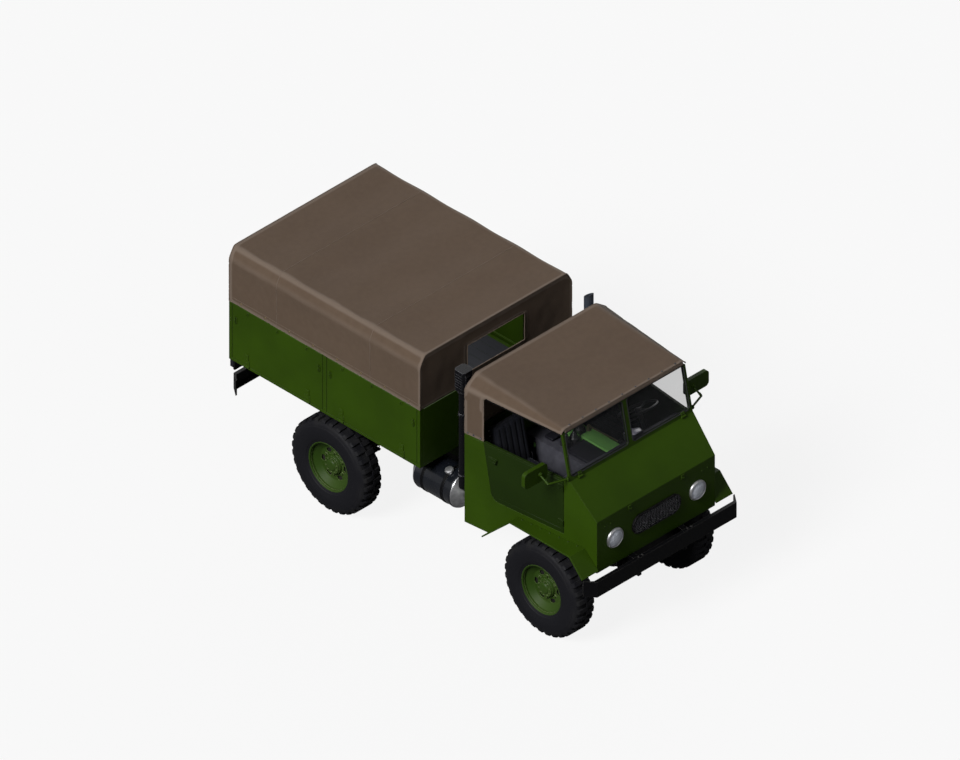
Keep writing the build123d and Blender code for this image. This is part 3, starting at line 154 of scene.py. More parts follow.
BACKGROUND = (0.97, 0.97, 0.97)
MIRRORED_SHARE = 0.22
world = bpy.data.worlds.new("studio_sky")
bpy.context.scene.world = world
world.use_nodes = True
sky = Wire(world.node_tree)
seen, mirrored, through = (sky.node("LightPath", output=f"Is {kind} Ray")
                           for kind in ("Camera", "Glossy", "Transmission"))
pale = sky.sum("MINIMUM", seen + mirrored * MIRRORED_SHARE + through, 1.0)
sky.tree.links.new(pale.tint((0.055, 0.057, 0.060), BACKGROUND).socket, sky.tree.nodes["Background"].inputs["Color"])

FLOOR_HALF, FLOOR_Z = 30, -0.001
floor_mesh = bpy.data.meshes.new("studio_floor")
floor_mesh.from_pydata([(x * FLOOR_HALF, y * FLOOR_HALF, FLOOR_Z) for x, y in ((-1, -1), (1, -1), (1, 1), (-1, 1))], [],
                       [(0, 1, 2, 3)])
floor_paint, start = surface("studio_floor", Roughness=0.9, Specular_IOR_Level=0.0)
seen = start.node("LightPath", output="Is Camera Ray")
start.feed(Base_Color=seen.tint((0.12, 0.12, 0.12), (0.62, 0.62, 0.62)))
glow = start.node("Emission", None, {"Color": (*BACKGROUND, 1), "Strength": 1.0})
shader = Wire(start.tree, start.tree.nodes["Principled BSDF"].outputs[0])
floor_look = start.node("MixShader", None, {0: seen * 0.90, 1: shader, 2: glow})
start.tree.links.new(floor_look.socket, start.tree.nodes["Material Output"].inputs["Surface"])
floor_mesh.materials.append(floor_paint)
show(bpy.data.objects.new("studio_floor", floor_mesh))

# name, direction it comes from, strength, width of the source in degrees
for name, source, strength, width in (("key", (-0.76, -0.03, 0.65), 4.30, 24),
                                      ("fill_left", (0.8, 0.6, 0.10), 1.70, 70),
                                      ("fill_front", (0.1, -0.9, 0.4), 0.26, 60)):
    lamp = show(bpy.data.objects.new(name, bpy.data.lights.new(name, "SUN")))
    lamp.data.energy, lamp.data.angle = strength, math.radians(width)
    lamp.rotation_euler = Vector(source).to_track_quat("Z", "Y").to_euler()
lamp = show(bpy.data.objects.new("canvas_glow", bpy.data.lights.new("canvas_glow", "AREA")))
lamp.data.shape, lamp.data.size, lamp.data.size_y = "RECTANGLE", 1.9, 2.3
lamp.data.energy, lamp.location, lamp.visible_camera = 30.0, (0.0, 1.15, 2.44), False
bpy.context.scene.view_settings.view_transform = "Standard"

# ---------------------------------------------------------------- chassis frame
# Channel rails with cross members, satin black over primer, grey with road dust. Rivets and bolts hold them
# together, and the bumpers and the towing jaw are bolted to their ends.


def painted(name, colour, bare, roughness, dust=0.25, wear=0.35, dirt_top=1.0):
    """Brushed-on vehicle paint: faded in patches, dusty low down and on top, worn to bare along its edges."""
    material, start = surface(name, Specular_IOR_Level=0.12, Metallic=0.0)
    normal = start.node("NewGeometry", output="Normal")
    height = start.node("TexCoord", output="Object").part("Z")
    patches, specks = start.grain(0.55, 4.0), start.grain(0.02, 5.0)
    rounded = start.node("Bevel", {"samples": 6}, {"Radius": 0.006})
    flatness = start.node("VectorMath", {"operation": "DOT_PRODUCT"}, {0: rounded, 1: normal}, "Value")
    worn = ((1.0 - flatness) * 6.0 + (specks - 0.5) * 1.1).rise(0.45, 0.75) * wear
    low = (1.0 - height.rise(0.25, dirt_top)) * patches.rise(0.25, 0.75)
    dusty = (low + normal.part("Z").rise(0.5, 1.0) * specks.rise(0.35, 0.8) * 0.15) * dust
    faded = patches.rise(0.3, 0.75).tint([c * 0.88 for c in colour], [min(1, c * 1.12) for c in colour])
    start.feed(Base_Color=worn.tint((dusty * 0.5).tint(faded, (0.085, 0.070, 0.045)), bare),
               Roughness=(specks - 0.5) * 0.12 + roughness + dusty * 0.5,
               Normal=start.bump(0.12, 0.0015, specks + patches * 2.0, Normal=rounded))
    return material


def dress(material, *names):
    """Gives solids that keep their own shape a finish."""
    for name in names:
        for material_slot in nodes[name].material_slots:
            material_slot.material = material


def turns(count, start=0.0):
    """The angles of even steps round a circle."""
    return [start + 2 * math.pi * k / count for k in range(count)]


def polar(radius, turn, z=0.0):
    """A point at a turn round the Z axis."""
    return Vector((radius * math.cos(turn), radius * math.sin(turn), z))


def placed(centre, axis):
    """The frame at centre with its Z along axis."""
    return Matrix.Translation(centre) @ Vector(axis).to_track_quat("Z", "Y").to_matrix().to_4x4()


class Work:
    """A piece in the making: blocks, turned forms, pipes and skins gathered in one mesh, in the frame base."""

    def __init__(self, base=Matrix()):
        self.mesh, self.base = bmesh.new(), base

    def block(self, middle, size, turn=Matrix()):
        """A block turned about its own middle."""
        place = self.base @ Matrix.Translation(middle) @ turn @ Matrix.Diagonal((*size, 1))
        bmesh.ops.create_cube(self.mesh, size=1, matrix=place)

    def box(self, low, high):
        """A block between two corners."""
        low, high = Vector(low), Vector(high)
        self.block((low + high) / 2, high - low)

    def skin(self, rings, closed=False, capped=False):
        """Faces between rings of points; a ring is one point or as many as the next."""
        rings = [[self.mesh.verts.new(self.base @ Vector(point)) for point in points] for points in rings]
        around = max(len(points) for points in rings)
        for one, two in zip(rings, rings[1:] + rings[:1] if closed else rings[1:]):
            for k in range(around):
                corners = [ring[i % len(ring)] for ring, i in ((one, k), (one, k + 1), (two, k + 1), (two, k))]
                corners = list(dict.fromkeys(corners))
                if len(corners) > 2:
                    self.mesh.faces.new(corners)
        if capped:
            self.mesh.faces.new(rings[0][::-1])
            self.mesh.faces.new(rings[-1])

    def turned(self, profile, centre=(0, 0, 0), axis=(0, 0, 1), sides=32, closed=False):
        """Turns (along, radius) points round an axis through centre; a radius of 0 closes an end."""
        lie = placed(centre, axis)
        self.skin([[lie @ polar(radius, turn, along) for turn in turns(sides if radius else 1)]
                   for along, radius in profile], closed)

    def tube(self, centre, axis, half, outer, inner=0.0, sides=32):
        """A tube, or a bar where inner is 0, that reaches half to both sides of centre."""
        self.turned(((-half, inner), (-half, outer), (half, outer), (half, inner)), centre, axis, sides, True)

    def pipe(self, points, radius, sides=12):
        """A round bar along a line of points."""
        points = [self.base @ Vector(point) for point in points]
        rings, back = [], self.base.inverted()
        for before, point, after in zip(points[:1] + points, points, points[1:] + points[-1:]):
            lie = back @ placed(point, (after - before).normalized())
            rings.append([lie @ polar(radius, turn) for turn in turns(sides)])
        self.skin(rings, capped=True)

    def bolt(self, place, axis, size=0.016):
        """A hexagon head on its washer, standing out along axis."""
        self.turned(((0, size * 0.72), (size * 0.12, size * 0.72), (size * 0.12, 0)), place, axis, 16)
        self.turned(((0, size * 0.5), (size * 0.55, size * 0.5), (size * 0.68, size * 0.36), (size * 0.68, 0)), place,
                    axis, 6)

    def bolts(self, radius, count, centre, axis, size, start=0.0):
        """Bolts on a circle about an axis."""
        for turn in turns(count, start):
            self.bolt(placed(centre, axis) @ polar(radius, turn), axis, size)

    def rivet(self, place, axis, size=0.012):
        """A low round rivet head."""
        self.turned(((0, size * 0.5), (size * 0.2, size * 0.42), (size * 0.32, size * 0.2), (size * 0.34, 0)), place,
                    axis, 10)

    def done(self, name, material, slot, body="chassis", replaces=None, edge=0.0, cuts=2, crease=35, at=(0, 0, 0)):
        """Makes the piece about the point at: edges rounded by edge metres, smooth apart from its creases."""
        bmesh.ops.recalc_face_normals(self.mesh, faces=self.mesh.faces)
        bmesh.ops.translate(self.mesh, vec=-Vector(at), verts=self.mesh.verts)
        mesh = bpy.data.meshes.new(name)
        self.mesh.to_mesh(mesh)
        self.mesh.free()
        piece = show(bpy.data.objects.new(name, mesh))
        piece.location = at
        mesh.materials.append(material)
        if edge:
            rounding = piece.modifiers.new("rounding", "BEVEL")
            rounding.width, rounding.segments, rounding.limit_method = edge, cuts, "ANGLE"
            rounding.angle_limit = math.radians(crease)
        mesh.shade_smooth()
        mesh.set_sharp_from_angle(angle=math.radians(crease))
        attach(piece, body)
        if replaces:
            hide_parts(replaces)
        return piece


STEEL_BARE = (0.17, 0.16, 0.15)
chassis_black = painted("chassis_black", (0.0020, 0.0020, 0.0026), STEEL_BARE, 0.42, dust=0.12, wear=0.2)
dress(chassis_black, "frame_rails", "cross_members", "bumpers", "tow_hitch")

RAIL_OUT = 0.370
EYE_BOLT_OUT, EYE_BOLT_IN, EYE_BOLT_Z = 0.3772, 0.2928, 0.775
SIDES = (-1, 1)
LEFT, AHEAD, BACK, UP, DOWN = (1, 0, 0), (0, -1, 0), (0, 1, 0), (0, 0, 1), (0, 0, -1)
fixings = Work()
for side in SIDES:
    out = (side, 0, 0)
    for cross_y in (-2.252, -0.272, 0.648, 1.848, 2.308):
        for dy in (-0.028, 0.028):
            for z in (0.865, 0.925):
                fixings.rivet((side * RAIL_OUT, cross_y + dy, z), out, 0.022)
    for hanger_y in (-2.212, -1.172, 0.688, 1.728):
        for dy in (-0.045, 0.045):
            fixings.bolt((side * RAIL_OUT, hanger_y + dy, 0.856), out, 0.020)
        fixings.bolt((side * EYE_BOLT_OUT, hanger_y, EYE_BOLT_Z), out, 0.030)
        fixings.bolt((side * EYE_BOLT_IN, hanger_y, EYE_BOLT_Z), (-side, 0, 0), 0.030)
    for bolt_x in (0.310, 0.360):
        for bumper_y in (-2.452, 2.452):
            fixings.bolt((side * bolt_x, bumper_y, 1.005), UP, 0.020)
    for bolt_z in (0.86, 0.94):
        fixings.bolt((side * 0.078, 2.366, bolt_z), BACK, 0.022)
fixings.done("chassis_fixings", chassis_black, "frame_black")

bright_steel, start = surface("bright_steel", Metallic=0.9)
drawn_out = start.node("Mapping", None, {"Vector": start.node("TexCoord", output="Object"), "Scale": (20, 20, 400)})
scratches = start.node("TexNoise", None, {"Vector": drawn_out, "Scale": 3.0, "Detail": 4.0})
blotches = start.grain(0.05, 3.0)
start.feed(Base_Color=blotches.rise(0.3, 0.7).tint((0.42, 0.42, 0.43), (0.58, 0.58, 0.59)),
           Roughness=scratches * 0.2 + 0.26 + blotches.rise(0.5, 0.8) * 0.1)

# ---------------------------------------------------------------- springs, axles and driveline
# Stacks of seven spring-steel leaves with rolled eyes, held to the pressed axle cases by U-bolts. The covers and
# joints are bolted castings and forgings, black under a coat of road dirt.
oily_steel = painted("oily_steel", (0.010, 0.010, 0.010), (0.12, 0.10, 0.08), 0.42, dust=0.4, wear=0.25, dirt_top=0.9)
dress(oily_steel, "front_axle", "rear_axle", "driveline", "knuckle_left", "knuckle_right", "track_rod")
FRONT_Y, REAR_Y, AXLE_Z = -1.692, 1.208, 0.515
SPRING_X = 0.335
LEAF_THICK, LEAF_GAP = 0.0068, 0.0003
LEAF_HALVES = (0.520, 0.506, 0.430, 0.350, 0.275, 0.200, 0.135)
EYE_Y, EYE_Z, CLIP_Y = 0.52, 0.775, 0.31
STRAP_HALF, STRAP_TOP, STRAP_FOOT, STRAP_BEND = 0.038, 0.624, 0.430, 0.024


def leaf_top(away):
    """Height of the top leaf's upper face at a distance from the axle."""
    rise = max(0.0, abs(away) - 0.05)
    return 0.626 + 0.209 * rise + 0.247 * rise * rise


leaves = Work()
for axle_y in (FRONT_Y, REAR_Y):
    for side in SIDES:
        leaves.base = Matrix.Translation((side * SPRING_X, axle_y, 0))
        for number, half in enumerate(LEAF_HALVES):
            wide = 0.029 - 0.0004 * number
            rings = []
            for away in np.linspace(-half, half, 25):
                top = leaf_top(away) - number * (LEAF_THICK + LEAF_GAP)
                low = top - LEAF_THICK * (1 if half - abs(away) > 0.02 else 0.75)
                rings.append([(-wide, away, low), (wide, away, low), (wide, away, top), (-wide, away, top)])
            leaves.skin(rings, capped=True)
        for end in SIDES:
            eye = (0, end * EYE_Y, EYE_Z)
            leaves.tube(eye, LEFT, 0.029, 0.023, 0.013, 28)
            leaves.tube(eye, LEFT, 0.030, 0.012, sides=16)
            leaves.block((0, end * CLIP_Y, leaf_top(CLIP_Y) - 0.0155), (0.066, 0.024, 0.037))
        leaves.block((0, 0, 0.6335), (0.084, 0.150, 0.013))
        leaves.block((0, 0, 0.4495), (0.092, 0.156, 0.013))
        for strap_y in (-0.062, 0.062):
            bend = [(-STRAP_HALF * math.cos(turn), strap_y, STRAP_TOP + STRAP_BEND * math.sin(turn))
                    for turn in np.linspace(0, math.pi, 9)]
            leaves.pipe([(-STRAP_HALF, strap_y, STRAP_FOOT), *bend, (STRAP_HALF, strap_y, STRAP_FOOT)], 0.0065, 10)
            for dx in (-STRAP_HALF, STRAP_HALF):
                leaves.bolt((dx, strap_y, 0.443), DOWN, 0.021)
leaves.done("leaf_springs", oily_steel, "frame_black", replaces="springs", edge=0.0012, cuts=1)


def beside(way, turn):
    """A direction square to way, turned about it."""
    return Matrix.Rotation(turn, 3, way) @ way.orthogonal().normalized()


casting = Work()
DIFF_X = 0.090
# The covers' bolts, the drain plugs, and the two shafts' yokes; a shaft's ends are given as Y and Z.
for axle_y in (FRONT_Y, REAR_Y):
    for facing in SIDES:
        casting.bolts(0.1415, 12, (DIFF_X, axle_y + facing * 0.050, AXLE_Z), (0, facing, 0), 0.0135, math.pi / 12)
    casting.bolt((DIFF_X + 0.02, axle_y, AXLE_Z - 0.1475), DOWN, 0.030)
for ends in (((-1.572, 0.515), (-0.632, 0.660)), ((-0.392, 0.660), (1.088, 0.515))):
    for here, there in (ends, ends[::-1]):
        point = Vector((DIFF_X, *here))
        way = (Vector((DIFF_X, *there)) - point).normalized()
        casting.turned(((0, 0.058), (0.012, 0.058), (0.012, 0.040), (0.035, 0.038), (0.050, 0.046), (0.078, 0.046),
                        (0.092, 0.0385), (0.13, 0.037)), point, way)
        for turn in turns(4):
            casting.bolt(point + beside(way, turn + 0.6) * 0.049 + way * 0.012, way, 0.012)
            casting.turned(((0.036, 0.014), (0.0495, 0.014), (0.0495, 0)), point + way * 0.064, beside(way, turn), 12)
for x in np.linspace(-0.13, 0.13, 5):
    for y in (-0.79, -0.356):
        casting.bolt((x, y, 0.709), DOWN, 0.016)
casting.done("drive_fittings", oily_steel, "frame_black")

steering = Work()
for side in SIDES:
    steering.turned(((0.012, 0.020), (0.022, 0.026), (0.034, 0.026), (0.046, 0.019), (0.050, 0)),
                    (side * 0.620, -1.932, 0.399), sides=24)
    steering.turned(((-0.022, 0.021), (0.022, 0.021)), (side * 0.575, -1.932, 0.421), LEFT, 20)
steering.done("track_rod_ends", oily_steel, "frame_black", "track_rod", edge=0.001)

# Brake drums in the wheels, and the back plates that stay on the knuckles and on the rear axle's ends.
WHEEL_X = 0.815
WHEELS = (("front_left", 1, FRONT_Y, "knuckle_left"), ("front_right", -1, FRONT_Y, "knuckle_right"),
          ("rear_left", 1, REAR_Y, "chassis"), ("rear_right", -1, REAR_Y, "chassis"))
for name, side, axle_y, carrier in WHEELS:
    centre, out = (side * WHEEL_X, axle_y, AXLE_Z), (side, 0, 0)
    drum = Work()
    drum.turned(((-0.046, 0.142), (-0.046, 0.153), (-0.040, 0.157), (-0.030, 0.153), (0.000, 0.152), (0.004, 0.212),
                 (0.009, 0.214), (0.016, 0.150), (0.016, 0.060), (0.010, 0.060), (0.008, 0.140)), centre, out, 64, True)
    drum.done(f"brake_drum_{name}", oily_steel, "frame_black", f"wheel_{name}", crease=30)
    plate = Work()
    inner = -0.062 if axle_y == FRONT_Y else -0.114
    plate.turned(((inner, 0), (inner, 0.070), (inner + 0.008, 0.074), (-0.062, 0.060), (-0.056, 0.085), (-0.052, 0.140),
                  (-0.048, 0.140), (-0.048, 0)), centre, out, 64)
    plate.bolts(0.078, 8, (centre[0] - side * 0.0565, axle_y, AXLE_Z), (-side, 0, 0), 0.013)
    plate.done(f"back_plate_{name}", oily_steel, "frame_black", carrier, crease=30)

# ---------------------------------------------------------------- engine, intake and exhaust
# A cast block under the cab with a pressed sump. The intake stack is black sheet with a louvred head, and the
# exhaust stack is aluminised tube, blued and sooty towards its slant-cut mouth.
cast_iron, start = surface("cast_iron", Metallic=0.35)
pits, oil = start.grain(0.006, 4.0), start.grain(0.25, 3.0).rise(0.45, 0.75)
start.feed(Base_Color=oil.tint((0.085, 0.085, 0.08), (0.03, 0.026, 0.022)), Roughness=0.65 - oil * 0.25 + pits * 0.1,
           Normal=start.bump(0.4, 0.001, pits))
dress(cast_iron, "engine_block")
sump = Work()
sump.block((0, -1.215, 0.7585), (0.34, 0.63, 0.033))
for k in range(6):
    sump.block((0, -1.488 + k * 0.1, 0.7405), (0.26, 0.024, 0.009))
for side in SIDES:
    for y in np.linspace(-1.5, -0.93, 8):
        sump.bolt((side * 0.2, y, 0.7695), DOWN, 0.012)
sump.done("sump", cast_iron, "engine_iron", edge=0.006)

intake_black = painted("intake_black", (0.004, 0.004, 0.005), (0.24, 0.24, 0.26), 0.28, dust=0.05, wear=0.6)
dress(intake_black, "air_intake")
stack = Work(Matrix.Translation((-0.870, -0.577, 0)))
LOUVRE_SLOPE = Matrix.Rotation(math.radians(-28), 4, "X")
for z in np.linspace(2.345, 2.495, 6):
    for turn in turns(4):
        face = Matrix.Rotation(turn, 4, "Z")
        stack.block(face.inverted() @ Vector((0, -0.0715, z)), (0.088, 0.004, 0.022), face @ LOUVRE_SLOPE)
for z in (1.30, 2.02, 2.285):
    stack.tube((0, 0, z), UP, 0.011, 0.053, 0.0505)
    stack.bolt((-0.058, -0.012, z), AHEAD, 0.010)
    stack.block((-0.057, 0, z), (0.018, 0.026, 0.016))
for z in (1.42, 2.10):
    stack.block((0, -0.079, z), (0.03, 0.068, 0.04))
stack.done("intake_fittings", intake_black, "frame_black", edge=0.001, cuts=1)

exhaust_steel, start = surface("exhaust_steel", Metallic=0.85)
height = start.node("TexCoord", output="Object").part("Z")
soot = height.rise(2.42, 2.56)
heat = height.rise(1.6, 2.3) + start.grain(0.2, 3.0) * 0.3 - 0.15
metal = heat.rise(0.2, 1.0).tint((0.30, 0.30, 0.31), (0.13, 0.16, 0.21))
start.feed(Base_Color=soot.tint(metal, (0.05, 0.055, 0.065)),
           Roughness=soot * 0.3 + 0.36 + start.grain(0.01, 4.0) * 0.12)
dress(exhaust_steel, "exhaust")
bands = Work(Matrix.Translation((0.870, -0.542, 0)))
for z in (1.28, 1.86, 2.30):
    bands.tube((0, 0, z), UP, 0.010, 0.0515, 0.0490)
    bands.block((0, -0.097, z), (0.024, 0.096, 0.020))
bands.turned(((1.34, 0.0495), (1.34, 0.0535), (1.54, 0.0535), (1.74, 0.0535), (1.74, 0.0495)), sides=40, closed=True)
bands.done("exhaust_bands", exhaust_steel, "bright_steel", edge=0.0008, cuts=1)

# ---------------------------------------------------------------- fuel tank
# A rolled steel drum with pressed conical ends, gloss black with bright ends, held by two steel straps on
# brackets from the rail. The filler has a turned cap on a chain.
tank_paint, start = surface("tank_paint", Metallic=0.15, Coat_Roughness=0.12)
smears = start.grain(0.3, 4.0)
start.feed(Base_Color=smears.rise(0.35, 0.7).tint((0.004, 0.005, 0.008), (0.008, 0.009, 0.013)),
           Roughness=smears.rise(0.4, 0.8) * 0.2 + 0.24, Coat_Weight=0.6 - smears.rise(0.5, 0.9) * 0.4,
           Normal=start.bump(0.1, 0.002, smears))
TANK = Vector((-0.700, 0, 0.955))
TANK_R = 0.200
TANK_MIDDLE, TANK_HALF = -0.167, 0.245
drum, ends = (Work(Matrix.Translation((0, TANK_MIDDLE, 0)) @ placed(TANK, BACK)) for _ in range(2))
half_shell = ((TANK_HALF - 0.024, TANK_R), (TANK_HALF - 0.012, TANK_R + 0.003), (TANK_HALF, TANK_R),
              (TANK_HALF + 0.004, TANK_R * 0.94))
drum.turned([(-along, radius) for along, radius in half_shell[::-1]] + list(half_shell), sides=96)
drum.done("tank_shell", tank_paint, "tank_dark", replaces="fuel_tank", crease=40)
for way in SIDES:
    ends.turned(((0.0, TANK_R * 0.985), (0.012, TANK_R * 0.975), (0.090, 0.112), (0.102, 0.098), (0.108, 0.082),
                 (0.110, 0.0)), (0, 0, way * TANK_HALF), (0, 0, way), 96)
ends.done("tank_ends", bright_steel, "bright_steel", crease=30)
straps = Work()
for strap_y in (-0.300, -0.030):
    straps.tube(TANK + Vector((0, strap_y, 0)), BACK, 0.018, TANK_R + 0.004, TANK_R + 0.0005, 96)
    straps.block((-0.449, strap_y, 0.895), (0.162, 0.056, 0.090))
    straps.block((-0.730, strap_y, 1.160), (0.030, 0.016, 0.024))
    straps.bolt((-0.745, strap_y, 1.160), (-1, 0, 0), 0.012)
straps.done("tank_straps", chassis_black, "frame_black", edge=0.002, cuts=1)
cap = Work(Matrix.Translation((-0.760, -0.292, 1.105)))
lean = Vector((-0.4, 0, 1))
cap.turned(((0.0, 0.036), (0.040, 0.036), (0.040, 0.040), (0.046, 0.043), (0.064, 0.043), (0.070, 0.039),
            (0.074, 0.028), (0.075, 0)), axis=lean, sides=40)
for turn in turns(10):
    cap.turned(((0.047, 0.005), (0.063, 0.005), (0.065, 0)), beside(lean, turn) * 0.041, lean, 8)
cap.pipe(((-0.02, 0.040, 0.030), (-0.024, 0.052, 0.018), (-0.014, 0.062, 0.010)), 0.003, 8)
cap.done("tank_cap", bright_steel, "bright_steel", crease=30)

# ---------------------------------------------------------------- wheels
# Cross-country tyres of moulded rubber with two rows of staggered lugs, on pressed steel discs with six hand holes.
# Six nuts hold each disc round its nave, and a side ring holds the tyre.
rubber, start = surface("tyre_rubber", Specular_IOR_Level=0.16)
across_wheel = start.node("VectorMath", {"operation": "MULTIPLY"},
                          {0: start.node("TexCoord", output="Object"), 1: (0, 1, 1)})
radius = start.node("VectorMath", {"operation": "LENGTH"}, {0: across_wheel}, "Value")
mud = radius.rise(0.40, 0.50) * start.grain(0.12, 5.0).rise(0.35, 0.7)
ridges = start.sum("SINE", radius * 900.0) * radius.rise(0.30, 0.33) * (1.0 - radius.rise(0.35, 0.38))
start.feed(Base_Color=(mud * 0.6).tint((0.0050, 0.0050, 0.0068), (0.014, 0.0135, 0.0135)), Roughness=mud * 0.25 + 0.62,
           Normal=start.bump(0.35, 0.001, ridges + start.grain(0.004, 3.0) * 0.5))
wheel_green = painted("wheel_green", (0.018, 0.043, 0.004), (0.15, 0.18, 0.08), 0.40, dust=0.2, wear=0.55, dirt_top=0.7)

# Sections through the wheel: across it from its middle, and out from its axis.
WALL = ((0.104, 0.2545), (0.112, 0.262), (0.120, 0.280), (0.124, 0.292), (0.1275, 0.294), (0.132, 0.315),
        (0.1365, 0.345), (0.138, 0.375), (0.137, 0.405), (0.133, 0.438), (0.1305, 0.440), (0.126, 0.462),
        (0.117, 0.480), (0.104, 0.490), (0.060, 0.4955), (0.0, 0.497))
TREAD_WALL = [(-x, r) for x, r in WALL[:-1]] + [(x, r) for x, r in WALL[::-1]]
LUG = ((-0.007, 0.492), (-0.007, 0.515), (0.090, 0.515), (0.101, 0.510), (0.110, 0.497), (0.116, 0.484), (0.108, 0.480),
       (0.092, 0.486))
LUGS = 64
LUG_TOP, NARROW_TOP, WIDE_FOOT = 0.508, 0.462, 0.492
FLANGE = ((0.1090, 0.2538), (0.1090, 0.2655), (0.1112, 0.2685), (0.1146, 0.2685), (0.1168, 0.2655), (0.1168, 0.2610),
          (0.1140, 0.2550), (0.1100, 0.2520), (0.1020, 0.2500))
RIM = [*FLANGE, (0.0960, 0.2500), (0.0950, 0.2475), (0.0800, 0.2470), (0.0745, 0.2455), (0.0700, 0.2400),
       (0.0360, 0.1905), (0.0312, 0.1845), (0.0300, 0.1780), (0.0200, 0.1780), (0.0220, 0.1870), (0.0600, 0.2420),
       (0.0560, 0.2475), (-0.0950, 0.2475)] + [(-x, r) for x, r in FLANGE[::-1]]
NAVE = ((0.020, 0.104), (0.030, 0.110), (0.034, 0.108), (0.052, 0.1055), (0.058, 0.101), (0.060, 0.096), (0.071, 0.094),
        (0.074, 0.090), (0.074, 0.061), (0.079, 0.058), (0.085, 0.050), (0.088, 0.040), (0.088, 0))
DISC_Z, DISC_THICK, DISC_R = 0.030, 0.010, 0.1785
HOLE_MIDDLE_R, HOLE_HALF_OUT, HOLE_HALF_ALONG = 0.150, 0.023, 0.035
NAVE_HOLE_R, NUTS_R, NAVE_BOLTS_R, NAVE_TOP = 0.1035, 0.125, 0.0755, 0.074


def ring(radius, count):
    """Flat points round a circle."""
    return [polar(radius, turn).to_2d() for turn in turns(count)]


def squarish(value):
    """A sine or cosine pushed outwards, which makes a circle more like a square."""
    return math.copysign(abs(value) ** 0.7, value)


def inside(point, loop):
    """Whether a flat point lies within a loop: a line from it crosses the loop an odd number of times."""
    odd = False
    for a, b in zip(loop, loop[1:] + loop[:1]):
        if (a[1] > point[1]) != (b[1] > point[1]):
            odd ^= point[0] < (b[0] - a[0]) * (point[1] - a[1]) / (b[1] - a[1]) + a[0]
    return odd


def cut(loops, step=None):
    """Points and faces of a flat sheet; the first loop is its outline, the others are its holes. A step divides the
    edges and fills the sheet with points that far apart."""
    def kept(point):
        return inside(point, loops[0]) and not any(inside(point, hole) for hole in loops[1:])

    points, edges = [], []
    for loop in loops:
        first = len(points)
        for a, b in zip(loop, loop[1:] + loop[:1]):
            a, b = Vector(a), Vector(b)
            parts = max(1, round((b - a).length / step)) if step else 1
            points += [a.lerp(b, k / parts) for k in range(parts)]
        last = len(points) - 1
        edges += [(k, k + 1) for k in range(first, last)] + [(last, first)]
    if step:
        border = np.array([tuple(point) for point in points])
        low, high = border.min(0), border.max(0)
        for a in np.arange(low[0] + step / 2, high[0], step):
            for b in np.arange(low[1] + step / 2, high[1], step):
                if np.hypot(*(border - (a, b)).T).min() > step * 0.45 and kept((a, b)):
                    points.append(Vector((a, b)))
    where, _, faces, *_ = delaunay_2d_cdt(points, edges, [], 0, 1e-6)
    return where, [face for face in faces if kept(sum((where[i] for i in face), Vector((0, 0))) / len(face))]


def pierced(work, loops, lie, thick):
    """A flat plate of an outline with holes, its front at 0 along lie's Z and its back at -thick."""
    where, faces = cut(loops)
    used = sorted({i for face in faces for i in face})
    front, back = ({i: work.mesh.verts.new(work.base @ lie @ Vector((*where[i], z))) for i in used}
                   for z in (0, -thick))
    borders = {}
    for face in faces:
        work.mesh.faces.new([front[i] for i in face])
        work.mesh.faces.new([back[i] for i in reversed(face)])
        for pair in zip(face, face[1:] + face[:1]):
            if not borders.pop(pair[::-1], False):
                borders[pair] = True
    for a, b in borders:
        work.mesh.faces.new([front[a], front[b], back[b], back[a]])


HAND_HOLES = []
for turn in turns(6):
    outwards, sideways = polar(1, turn).to_2d(), polar(1, turn + math.pi / 2).to_2d()
    HAND_HOLES.append([outwards * (HOLE_MIDDLE_R + HOLE_HALF_OUT * squarish(math.cos(t)))
                       + sideways * HOLE_HALF_ALONG * squarish(math.sin(t)) for t in turns(24)])
for name, side, axle_y, carrier in WHEELS:
    centre = Vector((side * WHEEL_X, axle_y, AXLE_Z))
    tyre, disc = (Work(placed(centre, (side, 0, 0))) for _ in range(2))
    tyre.turned(TREAD_WALL, sides=96, closed=True)
    for k in range(LUGS):
        row = 1 if k % 2 else -1
        tyre.skin([[polar(r, (k + 0.5 + way * (NARROW_TOP if r > LUG_TOP else WIDE_FOOT)) * 2 * math.pi / LUGS, row * x)
                    for x, r in LUG] for way in SIDES], capped=True)
    tyre.done(f"rubber_{name}", rubber, "tyre_rubber", f"wheel_{name}", f"tyre_{name}", edge=0.0018, at=centre)
    disc.turned(RIM, sides=96, closed=True)
    disc.turned(NAVE, sides=64)
    pierced(disc, [ring(DISC_R, 96), *HAND_HOLES, ring(NAVE_HOLE_R, 64)], Matrix.Translation((0, 0, DISC_Z)),
            DISC_THICK)
    disc.bolts(NUTS_R, 6, (0, 0, DISC_Z), UP, 0.026, math.pi / 6)
    disc.bolts(NAVE_BOLTS_R, 10, (0, 0, NAVE_TOP), UP, 0.0135, math.pi / 10)
    disc.pipe(((0.168, 0, 0.022), (0.168, 0, 0.055), (0.176, 0, 0.075)), 0.0045, 10)
    disc.done(f"disc_{name}", wheel_green, "body_green", f"wheel_{name}", f"rim_{name}", crease=30, at=centre)

